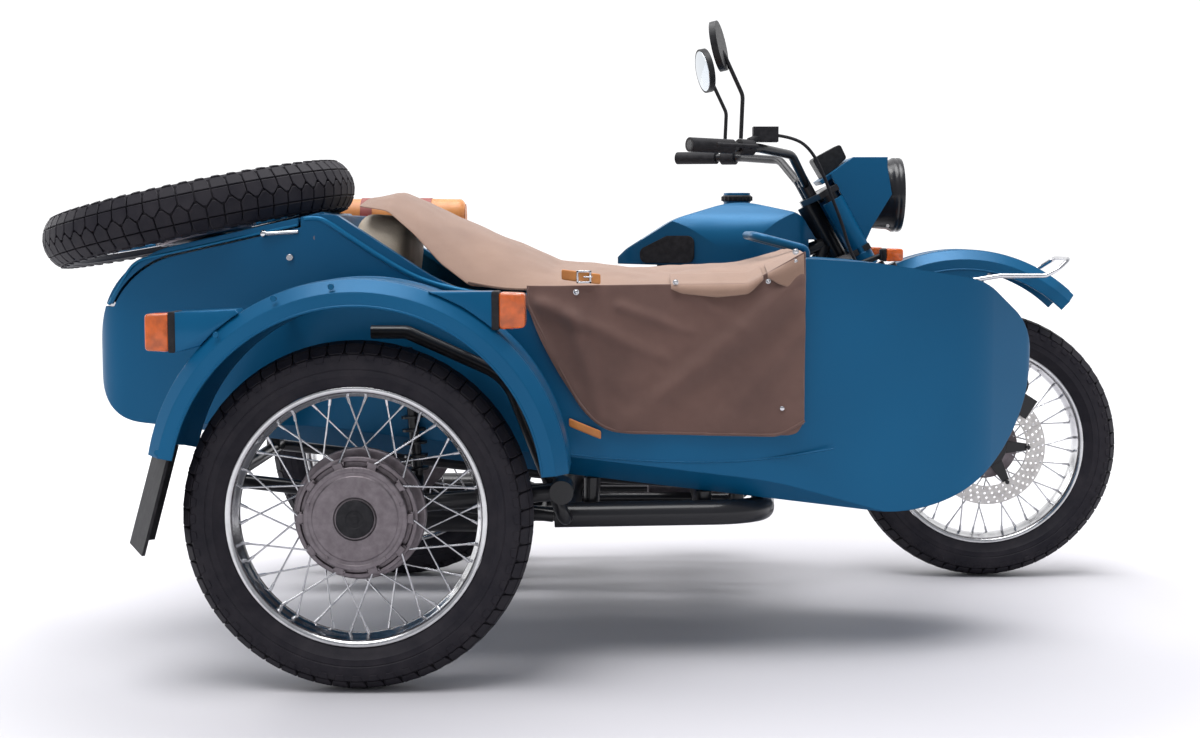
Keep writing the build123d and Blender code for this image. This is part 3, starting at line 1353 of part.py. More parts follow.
mirror_radius = 60.0
mirror_depth = 16.0
MIRROR_STEM = ((848.0, 314.5, 1112.5), (852.0, 313.0, 1215.0), (812.0, 318.0, 1300.0))
mirror_centre = (794.0, 320.0, 1330.0)
stem_radius = 5.0
stem_bend = 40.0
mirror_yaw = 14.0
mirror_pitch = 12.0


def mirrors():
    stem = bent_tube(list(MIRROR_STEM) + [mirror_centre], stem_bend, stem_radius)
    glass = Rot(0, -mirror_pitch, mirror_yaw) * (Rot(0, quarter_turn, 0) * Cylinder(mirror_radius, mirror_depth))
    return both_sides(stem + Pos(*mirror_centre) * glass)


# Front direction lamps on short stalks
signal_x = 1206.0
signal_length = 55.0
signal_z = 816.0
signal_height = 36.0
signal_inner_y = 138.0
signal_depth = 50.0


def front_signals():
    lamp = block((signal_x, signal_x + signal_length), (signal_inner_y, signal_inner_y + signal_depth), (signal_z, signal_z + signal_height))
    z = signal_z + half * signal_height
    cover = steer.to_local_coords(Vector(signal_x, fork_half, z))
    root = on_steer(fork_ahead, 0, cover.Z)
    knee_y = signal_inner_y + stay_radius
    stalk = rod((root.X, fork_half + cover_radius + running_gap, root.Z), (root.X, knee_y + stay_radius, root.Z), stay_radius)
    stalk += rod((root.X, knee_y, root.Z), (signal_x + stay_radius, knee_y, root.Z + half * stay_radius), stay_radius)
    return both_sides(lamp + stalk)


# Front brake calliper with the bracket that holds it to the axle's end
calliper_angle = 57.0
calliper_inner = 112.0
calliper_outer = 166.0
calliper_half = 36.0
calliper_near_y = -50.0
calliper_far_y = -92.0
bracket_thickness = 8.0


def brake_caliper():
    slot_near = disc_y + moving_gap + running_gap
    slot_far = disc_y - disc_thickness - moving_gap - running_gap
    body = block((calliper_inner, calliper_outer), (calliper_near_y, calliper_far_y), (-calliper_half, calliper_half))
    slot = block((0, disc_radius + moving_gap), (slot_near, slot_far), (-calliper_outer, calliper_outer))
    arm = block((0, calliper_inner + bracket_thickness), (calliper_far_y, calliper_far_y + bracket_thickness),
                (-bore_radius - bracket_thickness, bore_radius + bracket_thickness))
    arm -= block((-disc_inner, fork_leg + bracket_thickness + bracket_thickness), (0, -tub_width), (-disc_inner, disc_inner))
    return Pos(front_axle) * (Rot(0, -calliper_angle, 0) * (body - slot + arm))


# Brake hose and cables, held along the fork
cable_radius = 4.0
BRAKE_HOSE_ROUTE = ((940.5, -274.0, 1122.0), (985.0, -270.0, 1116.0), (1025.0, -255.0, 1085.0), (1056.0, -222.0, 1032.0),
                    (1082.0, -188.0, 975.0), (1110.0, -168.0, 912.0), (1128.0, -168.0, 850.0), (1160.0, -160.0, 790.0),
                    (1208.0, -148.0, 730.0), (1258.0, -140.0, 672.0), (1310.0, -138.0, 618.0), (1372.0, -137.0, 592.0),
                    (1440.0, -128.0, 585.0), (1508.0, -112.0, 572.0), (1568.0, -88.0, 542.0), (1606.7, -71.0, 506.4),
                    (1590.6, -71.0, 481.6))
arc_share = 0.45


def route_radii(points):
    """The widest arc at each corner that its two runs allow."""
    radii = []
    for before, corner, after in zip(points, points[1:], points[2:]):
        coming = Vector(corner) - Vector(before)
        going = Vector(after) - Vector(corner)
        turn = math.radians(coming.get_angle(going))
        radii.append(arc_share * min(coming.length, going.length) / math.tan(half * turn))
    return radii


def cables():
    return bent_tube(BRAKE_HOSE_ROUTE, route_radii(BRAKE_HOSE_ROUTE), cable_radius)


# Centre stand, folded up behind its pivot under the gearbox
stand_pivot_x = 452.0
stand_pivot_z = 188.0
stand_half = 92.0
stand_leg = 205.0
stand_angle = 12.0
stand_radius = 12.0
stand_foot = 34.0
stand_lug = 9.0


def centre_stand():
    turn = math.radians(stand_angle)
    foot = (stand_pivot_x - stand_leg * math.cos(turn), stand_half, stand_pivot_z - stand_leg * math.sin(turn))
    pivot = (stand_pivot_x, stand_half, stand_pivot_z)
    leg = rod(pivot, foot, stand_radius)
    shoe = rod((foot[0], stand_half, foot[2]), (foot[0], stand_half + stand_foot, foot[2]), stand_radius)
    barrel = rod((stand_pivot_x, 0, stand_pivot_z), pivot, stand_radius)
    cross_place = 0.45
    mid = Vector(pivot) + (Vector(foot) - Vector(pivot)) * cross_place
    cross = rod((mid.X, 0, mid.Z), (mid.X, stand_half, mid.Z), stand_radius - cable_radius)
    return both_sides(leg + shoe + barrel + cross)


def stand_lugs():
    """Lugs under the frame that carry the stand's pivot."""
    inner = stand_half + stand_radius + running_gap
    lug = side_solid([(stand_pivot_x - frame_tube, stand_pivot_z - frame_tube), (stand_pivot_x + frame_tube, stand_pivot_z - frame_tube),
                      (stand_pivot_x + frame_tube + frame_tube, cradle_z), (stand_pivot_x - half * frame_tube, cradle_z)],
                     (inner, cradle_half - half * frame_tube))
    return both_sides(lug)


# Every node by name, still in the motorcycle's own frame
wheel_parts = {"tyre": tyre(), "rim": rim(), "hub": drum_hub()}
left_out = Rot(0, 0, half_turn)
nodes = {
    "moto_frame": moto_frame() + saddle_mount() + stand_lugs(),
    "engine": engine(),
    "cylinder_left": cylinder(1),
    "cylinder_right": cylinder(-1),
    "intake": intake(),
    "exhausts": exhausts(),
    "final_drive": final_drive(),
    "rear_arm": rear_arm(),
    "rear_springs": rear_springs(),
    "fuel_tank": tank_solid,
    "knee_pads": knee_pads(),
    "saddle": saddle(),
    "rear_rack": rear_rack(),
    "leather_roll": leather_roll(),
    "rear_fender": rear_fender(),
    "tail_lamp": tail_lamp(),
    "tub": tub() + tub_hinge(),
    "trunk_lid": trunk_lid(),
    "spare_carrier": spare_carrier(),
    "sidecar_seat": sidecar_seat(),
    "cockpit_cover": cockpit_cover(),
    "grab_bar": grab_bar(),
    "sidecar_frame": sidecar_frame(),
    "tail_frame": tail_frame(),
    "spring_tower": spring_tower(),
    "side_arm": side_arm(),
    "sidecar_fender": sidecar_fender(),
    "fender_stays": fender_stays(),
    "fender_lamps": fender_lamps(),
    "mud_flap": mud_flap(),
    "fork": fork() + spring_lugs(),
    "fork_covers": fork_covers(),
    "fork_links": fork_links(),
    "front_fender": front_fender(),
    "fender_guard": fender_guard(),
    "headlamp": headlamp(),
    "headlamp_glass": headlamp_glass(),
    "nacelle": nacelle(),
    "instrument": instrument(),
    "handlebar": handlebar(),
    "controls": controls(),
    "mirrors": mirrors(),
    "front_signals": front_signals(),
    "brake_caliper": brake_caliper(),
    "cables": cables(),
    "centre_stand": centre_stand(),
    "front_tyre": Pos(front_axle) * tyre(),
    "front_rim": Pos(front_axle) * rim(),
    "front_hub": Pos(front_axle) * front_hub(),
    "brake_disc": Pos(front_axle) * brake_disc(),
}
places = {"rear": Pos(rear_axle), "side": Pos(side_axle) * Rot(0, 0, half_turn), "spare": spare_place}
for wheel_name, place in places.items():
    for part_name, solid in wheel_parts.items():
        nodes[wheel_name + "_" + part_name] = place * solid

# The whole stands on the floor with its middle over the origin
boxes = [solid.bounding_box() for solid in nodes.values()]
middle_x = half * (min(box.min.X for box in boxes) + max(box.max.X for box in boxes))
middle_y = half * (min(box.min.Y for box in boxes) + max(box.max.Y for box in boxes))
floor_z = min(box.min.Z for box in boxes)
to_origin = Pos(-middle_x, -middle_y, -floor_z)
print("Shift to the origin:", round(-middle_x, 3), round(-middle_y, 3), round(-floor_z, 3))
for node_name, solid in nodes.items():
    export_step(to_origin * solid, os.path.join("parts", node_name + ".step"))
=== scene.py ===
import json
import math

import bmesh
import bpy
from mathutils import Matrix, Vector, noise


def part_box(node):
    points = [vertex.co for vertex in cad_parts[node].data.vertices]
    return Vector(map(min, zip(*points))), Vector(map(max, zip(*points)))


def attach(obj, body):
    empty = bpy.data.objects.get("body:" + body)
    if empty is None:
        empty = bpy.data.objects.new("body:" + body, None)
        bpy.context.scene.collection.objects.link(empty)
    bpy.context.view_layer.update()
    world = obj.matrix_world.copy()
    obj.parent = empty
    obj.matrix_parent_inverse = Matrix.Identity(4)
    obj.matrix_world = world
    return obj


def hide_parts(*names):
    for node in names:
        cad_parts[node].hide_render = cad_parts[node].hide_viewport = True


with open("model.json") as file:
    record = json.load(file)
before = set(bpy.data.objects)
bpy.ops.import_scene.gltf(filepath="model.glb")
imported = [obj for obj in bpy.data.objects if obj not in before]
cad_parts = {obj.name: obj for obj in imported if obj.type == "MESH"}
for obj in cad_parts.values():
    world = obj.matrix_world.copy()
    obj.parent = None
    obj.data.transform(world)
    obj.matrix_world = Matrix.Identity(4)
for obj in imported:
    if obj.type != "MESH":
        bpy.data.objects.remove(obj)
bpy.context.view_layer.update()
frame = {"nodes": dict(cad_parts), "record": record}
nodes = frame["nodes"]
scene = bpy.context.scene

# Places are written in millimetres from the rear axle's foot, X forward, Y to the left, Z up
mm = 0.001
full_turn = 2 * math.pi
wheel_radius = 342
wheelbase = 1500
track = 1140
wheel_lead = 50
tub_middle_y = -650
side_guard_centre = (60, 400)
front_guard_centre = (1434, 436)
rim_low, rim_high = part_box("rear_rim")
origin = Vector(((rim_low.x + rim_high.x) / 2, (rim_low.y + rim_high.y) / 2, 0))


def at(point):
    return origin + Vector(point) * mm


def lerp(a, b, t):
    return a + (b - a) * t


def table(rows, x):
    """The value of a table at a place, on a straight line between its rows."""
    if x <= rows[0][0]:
        return rows[0][1]
    for (x0, y0), (x1, y1) in zip(rows, rows[1:]):
        if x <= x1:
            return lerp(y0, y1, (x - x0) / (x1 - x0))
    return rows[-1][1]


# Materials, all built from nodes
dull_specular, full_specular = 0.18, 0.5


def new_material(name, color, roughness, metallic=0.0, **values):
    mat = bpy.data.materials.new(name)
    mat.use_nodes = True
    shader = mat.node_tree.nodes["Principled BSDF"]
    shader.inputs["Base Color"].default_value = (*color, 1)
    shader.inputs["Roughness"].default_value = roughness
    shader.inputs["Metallic"].default_value = metallic
    for key, value in values.items():
        shader.inputs[key.replace("_", " ")].default_value = value
    return mat, mat.node_tree, shader


def add_node(tree, kind, **settings):
    node = tree.nodes.new("ShaderNode" + kind)
    for key, value in settings.items():
        setattr(node, key, value)
    return node


def places(tree):
    coord = add_node(tree, "TexCoord")
    mapping = add_node(tree, "Mapping")
    tree.links.new(coord.outputs["Object"], mapping.inputs["Vector"])
    return mapping.outputs["Vector"]


def noise_node(tree, vector, scale, detail=3.0, rough=0.5):
    node = add_node(tree, "TexNoise")
    node.inputs["Scale"].default_value = scale
    node.inputs["Detail"].default_value = detail
    node.inputs["Roughness"].default_value = rough
    tree.links.new(vector, node.inputs["Vector"])
    return node.outputs["Fac"]


def voronoi_node(tree, vector, scale):
    node = add_node(tree, "TexVoronoi", feature="SMOOTH_F1")
    node.inputs["Scale"].default_value = scale
    tree.links.new(vector, node.inputs["Vector"])
    return node.outputs["Distance"]


def wave_node(tree, vector, scale, direction, distortion=0.0):
    node = add_node(tree, "TexWave", bands_direction=direction)
    node.inputs["Scale"].default_value = scale
    node.inputs["Distortion"].default_value = distortion
    tree.links.new(vector, node.inputs["Vector"])
    return node.outputs["Fac"]


def ramp(tree, value, stops):
    node = add_node(tree, "ValToRGB")
    while len(node.color_ramp.elements) < len(stops):
        node.color_ramp.elements.new(0.5)
    for element, (place, color) in zip(node.color_ramp.elements, stops):
        element.position = place
        element.color = (*color, 1) if len(color) == 3 else color
    tree.links.new(value, node.inputs["Fac"])
    return node.outputs["Color"]


def spread_to(tree, value, low, high):
    node = add_node(tree, "MapRange")
    node.inputs["To Min"].default_value = low
    node.inputs["To Max"].default_value = high
    tree.links.new(value, node.inputs["Value"])
    return node.outputs["Result"]


def maths(tree, operation, a, b):
    node = add_node(tree, "Math", operation=operation)
    for index, value in enumerate((a, b)):
        if isinstance(value, (int, float)):
            node.inputs[index].default_value = value
        else:
            tree.links.new(value, node.inputs[index])
    return node.outputs["Value"]


def bump(tree, shader, height, distance, strength=1.0, soft_edge=0.0):
    node = add_node(tree, "Bump")
    node.inputs["Distance"].default_value = distance
    node.inputs["Strength"].default_value = strength
    tree.links.new(height, node.inputs["Height"])
    if soft_edge:
        bevel = add_node(tree, "Bevel", samples=4)
        bevel.inputs["Radius"].default_value = soft_edge
        tree.links.new(bevel.outputs["Normal"], node.inputs["Normal"])
    tree.links.new(node.outputs["Normal"], shader.inputs["Normal"])


def paint(name, dark, light, metallic, roughness, coat, soft_edge=0.004):
    mat, tree, shader = new_material(name, light, roughness, metallic, Coat_Weight=coat,
                                     Coat_Roughness=0.12, Specular_IOR_Level=0.2)
    vector = places(tree)
    shade = noise_node(tree, vector, 1.6, 2.0)
    tree.links.new(ramp(tree, shade, [(0.3, dark), (0.7, light)]), shader.inputs["Base Color"])
    tree.links.new(spread_to(tree, noise_node(tree, vector, 24, 4.0), roughness - 0.05, roughness + 0.06),
                   shader.inputs["Roughness"])
    bump(tree, shader, noise_node(tree, vector, 900, 2.0), 0.00012, 0.35, soft_edge)
    return mat


def metal(name, dark, light, roughness, grain, depth, soft_edge=0.0015, metallic=1.0):
    mat, tree, shader = new_material(name, light, roughness, metallic,
                                     Specular_IOR_Level=lerp(dull_specular, full_specular, metallic))
    vector = places(tree)
    shade = noise_node(tree, vector, grain * 0.12, 4.0, 0.6)
    tree.links.new(ramp(tree, shade, [(0.3, dark), (0.7, light)]), shader.inputs["Base Color"])
    tree.links.new(spread_to(tree, shade, roughness * 0.75, roughness * 1.3), shader.inputs["Roughness"])
    bump(tree, shader, noise_node(tree, vector, grain, 3.0), depth, 0.5, soft_edge)
    return mat


def soft_plastic(name, dark, light, roughness, grain, depth):
    return metal(name, dark, light, roughness, grain, depth, 0.002, 0.0)


def leather(name, dark, light, roughness, cell):
    mat, tree, shader = new_material(name, light, roughness, Sheen_Weight=0.08)
    vector = places(tree)
    blotch = noise_node(tree, vector, 14, 5.0, 0.6)
    tree.links.new(ramp(tree, blotch, [(0.32, dark), (0.68, light)]), shader.inputs["Base Color"])
    tree.links.new(spread_to(tree, blotch, roughness + 0.12, roughness - 0.08), shader.inputs["Roughness"])
    grain = voronoi_node(tree, vector, cell)
    bump(tree, shader, maths(tree, "ADD", grain, maths(tree, "MULTIPLY", blotch, 2.0)), 0.0008, 0.5)
    return mat


def weave(name, dark, light, threads):
    mat, tree, shader = new_material(name, light, 0.9, Sheen_Weight=0.25, Sheen_Roughness=0.5)
    vector = places(tree)
    stain = noise_node(tree, vector, 5, 6.0, 0.62)
    warp = wave_node(tree, vector, threads, "X", 0.4)
    weft = wave_node(tree, vector, threads, "Z", 0.4)
    cloth = maths(tree, "MAXIMUM", warp, weft)
    mixed = maths(tree, "ADD", maths(tree, "MULTIPLY", stain, 0.8), maths(tree, "MULTIPLY", cloth, 0.22))
    tree.links.new(ramp(tree, mixed, [(0.28, dark), (0.72, light)]), shader.inputs["Base Color"])
    tree.links.new(spread_to(tree, stain, 0.82, 0.97), shader.inputs["Roughness"])
    slub = noise_node(tree, vector, 160, 3.0)
    bump(tree, shader, maths(tree, "ADD", cloth, slub), 0.0006, 0.6)
    return mat


def tyre_rubber(name):
    mat, tree, shader = new_material(name, (0.02, 0.02, 0.024), 0.62, Specular_IOR_Level=dull_specular)
    vector = places(tree)
    dust = noise_node(tree, vector, 18, 6.0, 0.65)
    tree.links.new(ramp(tree, dust, [(0.35, (0.011, 0.01, 0.015)), (0.75, (0.028, 0.025, 0.03))]),
                   shader.inputs["Base Color"])
    tree.links.new(spread_to(tree, dust, 0.5, 0.75), shader.inputs["Roughness"])
    bump(tree, shader, noise_node(tree, vector, 700, 3.0), 0.0003, 0.4)
    return mat


def lens(name, color, roughness=0.12, ribs=220.0):
    mat, tree, shader = new_material(name, color, roughness, Transmission_Weight=0.35, Coat_Weight=0.6,
                                     IOR=1.49)
    vector = places(tree)
    bands = wave_node(tree, vector, ribs, "Z")
    shade = noise_node(tree, vector, 60, 2.0)
    deep = tuple(0.62 * c for c in color)
    tree.links.new(ramp(tree, shade, [(0.3, deep), (0.65, color)]), shader.inputs["Base Color"])
    tree.links.new(spread_to(tree, shade, roughness * 0.8, roughness * 1.4), shader.inputs["Roughness"])
    bump(tree, shader, bands, 0.0006, 0.35, 0.0015)
    return mat


blue = paint("blue_paint", (0.002, 0.074, 0.17), (0.003, 0.1, 0.225), 0.25, 0.34, 0.04)
# A lighter copy of the blue paint: the painted highlight on the beads along the tub's and the lid's upper
# edges
painted_highlight_blue = paint("painted_highlight_blue", (0.004, 0.11, 0.24), (0.006, 0.16, 0.33), 0.3, 0.3, 0.1)
black = paint("black_paint", (0.008, 0.008, 0.01), (0.016, 0.016, 0.019), 0.0, 0.32, 0.3, 0.002)
cast = metal("cast_alloy", (0.15, 0.13, 0.14), (0.25, 0.22, 0.235), 0.46, 420, 0.0004)
polished = metal("polished_alloy", (0.5, 0.5, 0.51), (0.66, 0.66, 0.67), 0.2, 300, 0.00008)
chrome = metal("chrome", (0.5, 0.5, 0.52), (0.66, 0.66, 0.68), 0.1, 200, 0.00004)
mirror_glass = metal("mirror_glass", (0.62, 0.66, 0.7), (0.7, 0.74, 0.78), 0.04, 40, 0.00002)
steel = metal("steel", (0.42, 0.4, 0.39), (0.62, 0.6, 0.58), 0.3, 500, 0.0001)
rubber = soft_plastic("rubber", (0.01, 0.01, 0.012), (0.026, 0.025, 0.028), 0.62, 600, 0.0003)
plastic = soft_plastic("black_plastic", (0.008, 0.008, 0.009), (0.02, 0.02, 0.022), 0.42, 900, 0.0002)
tyre_mat = tyre_rubber("tyre_rubber")
amber = lens("amber_lens", (0.95, 0.17, 0.01))
tan = leather("tan_leather", (0.42, 0.14, 0.03), (0.62, 0.25, 0.06), 0.42, 420)
dark_red = leather("red_strap", (0.16, 0.02, 0.015), (0.28, 0.04, 0.03), 0.5, 500)
cream = leather("cream_leather", (0.44, 0.36, 0.27), (0.6, 0.51, 0.4), 0.5, 420)
# One canvas in two copies: the darker one paints shade on the hanging side, the lighter one paints light on
# the top, its edge hem and flaps
canvas = weave("canvas", (0.085, 0.044, 0.036), (0.17, 0.092, 0.074), 330)
painted_lit_canvas = weave("painted_lit_canvas", (0.2, 0.115, 0.082), (0.32, 0.2, 0.145), 330)

clear, clear_tree, clear_shader = new_material("headlamp_glass", (0.9, 0.93, 0.95), 0.04,
                                               Transmission_Weight=0.95, IOR=1.46)
clear_vector = places(clear_tree)
bump(clear_tree, clear_shader, wave_node(clear_tree, clear_vector, 90, "Y"), 0.0008, 0.4)

finishes = {
    "blue_paint": blue, "black_paint": black, "cast_grey": cast, "polished": polished, "chrome": chrome,
    "steel": steel, "tyre": tyre_mat, "rubber": rubber, "plastic": plastic, "amber": amber,
    "tan_leather": tan, "cream_leather": cream, "canvas": canvas, "lens": clear,
}
for part in frame["record"]["subparts"]:
    mesh = nodes[part["node"]].data
    mesh.materials.clear()
    mesh.materials.append(finishes[part["material_slot"]])


# Pieces
class Shape:
    """Points and faces gathered into one piece."""

    def __init__(self):
        self.points = []
        self.faces = []

    def add(self, points, faces, matrix=None):
        start = len(self.points)
        self.points += [tuple(matrix @ Vector(p)) if matrix else tuple(p) for p in points]
        self.faces += [tuple(start + i for i in face) for face in faces]
        return self

    def lathe(self, profile, steps, matrix=None, closed=False):
        """A profile of places along the axle and radii, turned round the Y axis."""
        points = []
        for index in range(steps):
            turn = full_turn * index / steps
            points += [(r * math.cos(turn), y, r * math.sin(turn)) for y, r in profile]
        count = len(profile)
        rows = count if closed else count - 1
        faces = []
        for index in range(steps):
            near, far = index * count, (index + 1) % steps * count
            for row in range(rows):
                after = (row + 1) % count
                faces.append((near + row, near + after, far + after, far + row))
        return self.add(points, faces, matrix)

    def rod(self, start, end, radius, sides=8, matrix=None, end_radius=None):
        start, end = Vector(start), Vector(end)
        turn = (end - start).to_track_quat("Z", "Y").to_matrix()
        points = []
        for centre, size in ((start, radius), (end, radius if end_radius is None else end_radius)):
            for index in range(sides):
                angle = full_turn * index / sides
                points.append(centre + turn @ Vector((size * math.cos(angle), size * math.sin(angle), 0)))
        faces = [(i, (i + 1) % sides, sides + (i + 1) % sides, sides + i) for i in range(sides)]
        faces += [tuple(reversed(range(sides))), tuple(range(sides, 2 * sides))]
        return self.add(points, faces, matrix)

    def box(self, low, high, matrix=None):
        xs, ys, zs = zip(low, high)
        points = [(x, y, z) for x in xs for y in ys for z in zs]
        faces = [(0, 1, 3, 2), (4, 6, 7, 5), (0, 4, 5, 1), (2, 3, 7, 6), (0, 2, 6, 4), (1, 5, 7, 3)]
        return self.add(points, faces, matrix)

    def grid(self, rows):
        """A sheet through rows of points."""
        count = len(rows[0])
        points = [p for row in rows for p in row]
        faces = []
        for r in range(len(rows) - 1):
            for c in range(r * count, r * count + count - 1):
                faces.append((c, c + 1, c + count + 1, c + count))
        return self.add(points, faces)

    def make(self, name, material, body, stands_for, slot, crease, bevel=0.0, thickness=0.0, subdivide=0):
        """The gathered points as one piece, its edges sharp above the crease angle."""
        mesh = bpy.data.meshes.new(name)
        mesh.from_pydata([at(p) for p in self.points], [], self.faces)
        mesh.materials.append(material)
        obj = bpy.data.objects.new(name, mesh)
        scene.collection.objects.link(obj)
        work = bmesh.new()
        work.from_mesh(mesh)
        bmesh.ops.recalc_face_normals(work, faces=work.faces)
        for face in work.faces:
            face.smooth = True
        for edge in work.edges:
            if len(edge.link_faces) == 2 and edge.calc_face_angle(0) > math.radians(crease):
                edge.smooth = False
        work.to_mesh(mesh)
        work.free()
        if thickness:
            modifier = obj.modifiers.new("cloth", "SOLIDIFY")
            modifier.thickness = thickness * mm
            modifier.offset = 0
        if subdivide:
            modifier = obj.modifiers.new("smooth", "SUBSURF")
            modifier.levels = modifier.render_levels = subdivide
        if bevel:
            modifier = obj.modifiers.new("edge", "BEVEL")
            modifier.width = bevel * mm
            modifier.segments = 2
            modifier.limit_method = "ANGLE"
        return enrol(obj, body, stands_for)


def enrol(obj, body, stands_for):
    """Hangs a piece from its body's empty and hides the nodes it stands for."""
    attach(obj, body)
    if stands_for:
        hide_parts(*stands_for)
    return obj


def tube(name, points, radius, material, body, stands_for, sides):
    """A smooth bent tube through control points."""
    curve = bpy.data.curves.new(name, "CURVE")
    curve.dimensions = "3D"
    curve.bevel_depth = radius * mm
    curve.bevel_resolution = sides
    curve.use_fill_caps = True
    curve.resolution_u = 8
    spline = curve.splines.new("NURBS")
    spline.points.add(len(points) - 1)
    for point, place in zip(spline.points, points):
        point.co = (*at(place), 1)
    spline.order_u = 3
    spline.use_endpoint_u = True
    curve.materials.append(material)
    obj = bpy.data.objects.new(name, curve)
    scene.collection.objects.link(obj)
    return enrol(obj, body, stands_for)


# Tyres: a carcass with sidewall ribs, four rows of blocks and lugs at the sides
# Each row of the section is an arc length from the middle, a place across and a radius
tyre_section = [(0, 0, wheel_radius), (10, 10, 341.3), (20, 19.8, 339.2), (30, 29.2, 335.6),
                (40, 37.9, 330.6), (48, 44.3, 325.9), (56, 49.8, 320), (64, 53, 312.8), (72, 54, 305),
                (84, 53.6, 293), (96, 51.2, 281), (108, 46.5, 270), (118, 41, 262), (126, 36.5, 255)]
tyre_across = [(s, y) for s, y, r in tyre_section]
tyre_radii = [(s, r) for s, y, r in tyre_section]
slope_reach = 4
block_pitches = 60
shoulder_block = [(-0.46, 31), (0.46, 31), (0.46, 46), (0.36, 56), (-0.36, 56), (-0.46, 46)]
middle_block = [(-0.46, 28.5), (0.46, 28.5), (0.46, 10), (0.1, -4), (-0.1, -4), (-0.46, 10)]
side_lug = [(-0.3, 60), (0.3, 60), (0.22, 71), (-0.22, 71)]


def tyre_point(s, drop):
    """The place across and the radius, at an arc length from the middle and a depth below the tread."""
    way = 1 if s >= 0 else -1
    s = abs(s)
    ahead, behind = s + slope_reach, max(0, s - slope_reach)
    slope = Vector((table(tyre_across, ahead) - table(tyre_across, behind),
                    table(tyre_radii, ahead) - table(tyre_radii, behind))).normalized()
    return way * (table(tyre_across, s) + slope.y * drop), table(tyre_radii, s) - slope.x * drop


carcass_arcs = [126, 122, 112, 104, 101, 98, 90, 88, 86, 78, 70, 62, 57, 52, 44, 34, 22, 10]
carcass_drops = [0, 0, 0, 0, -1.2, 0, 0, 1.2, 0, 0, 0, 0, 2, 5.5, 6, 6, 6, 6]
groove_depth = 6
block_rows = ((shoulder_block, groove_depth, 0.0), (middle_block, groove_depth, 0.0), (side_lug, 0.5, -2.0))


def tyre_shape(matrix):
    side = [tyre_point(-s, d) for s, d in zip(carcass_arcs, carcass_drops)]
    profile = side + [tyre_point(0, groove_depth)] + [(-y, r) for y, r in reversed(side)]
    shape = Shape().lathe(profile, 120, matrix)
    pitch = full_turn / block_pitches
    for index in range(block_pitches):
        for outline, root, height in block_rows:
            for way in (-1, 1):
                turn = (index + (0.5 if way < 0 else 0)) * pitch
                middle_s = sum(s for u, s in outline) / len(outline)
                rings = []
                for drop, size in ((root, 1.0), (height + 1.0, 1.0), (height, 0.9)):
                    ring = []
                    for u, s in outline:
                        y, r = tyre_point(way * (middle_s + (s - middle_s) * size), drop)
                        angle = turn + u * size * pitch
                        ring.append((r * math.cos(angle), y, r * math.sin(angle)))
                    rings.append(ring)
                count = len(outline)
                faces = []
                for low in (0, count):
                    for i in range(count):
                        j = (i + 1) % count
                        faces.append((low + i, low + j, low + count + j, low + count + i))
                faces.append(tuple(2 * count + i for i in range(count)))
                shape.add([p for ring in rings for p in ring], faces, matrix)
    return shape


rim_section = [(-39, 249), (-39, 252.4), (-37.8, 254), (-36, 253.6), (-34.6, 251), (-34, 246), (-30, 243.6),
               (30, 243.6), (34, 246), (34.6, 251), (36, 253.6), (37.8, 254), (39, 252.4), (39, 249),
               (37.6, 245.5), (33, 241.5), (27, 240), (20, 238.5), (14, 234.5), (6, 232.6), (-6, 232.6),
               (-14, 234.5), (-20, 238.5), (-27, 240), (-33, 241.5), (-37.6, 245.5)]
drum_section = [(-35, 10.3), (-35, 126), (-33, 130), (-16, 130), (-14, 127), (-14, 112), (22, 112),
                (24, 118), (30, 119), (32, 117), (32, 110), (27, 109), (27, 101), (49, 101), (51, 99),
                (51.5, 92), (50, 90), (50, 84), (52, 82), (52, 42), (50, 40), (50, 37)]
cap_section = [(50, 37), (59, 36), (60, 34), (60, 18), (58.5, 16), (58.5, 9), (60, 7), (60, 0.01)]
front_section = [(-56, 10.3), (-56, 38), (-54, 40), (-38, 40), (-37, 82), (-36, 84), (-24, 84), (-23, 82),
                 (-22, 40), (-8, 36), (8, 36), (22, 40), (23, 82), (24, 84), (36, 84), (37, 82), (38, 40),
                 (54, 40), (56, 38), (56, 10.3)]
spoke_pairs = 10
spoke_radius, nipple_foot, nipple_tip, elbow_radius = 1.9, 2.9, 3.4, 3.2
spoke_reach, spoke_spread = 233, 22.5


def wheel_spokes(shape, radius, y, start, matrix):
    for index in range(spoke_pairs):
        for way in (-1, 1):
            angle = math.radians(start + index * 360 / spoke_pairs)
            out = angle + way * math.radians(spoke_spread)
            foot = Vector((radius * math.cos(angle), y + way * 5, radius * math.sin(angle)))
            tip = Vector((spoke_reach * math.cos(out), math.copysign(9, y), spoke_reach * math.sin(out)))
            along = (tip - foot).normalized()
            shape.rod(foot, tip, spoke_radius, 8, matrix)
            shape.rod(tip - along * 14, tip + along * 1.5, nipple_foot, 8, matrix, nipple_tip)
            shape.rod(foot - along * 3, foot + along * 3, elbow_radius, 8, matrix)


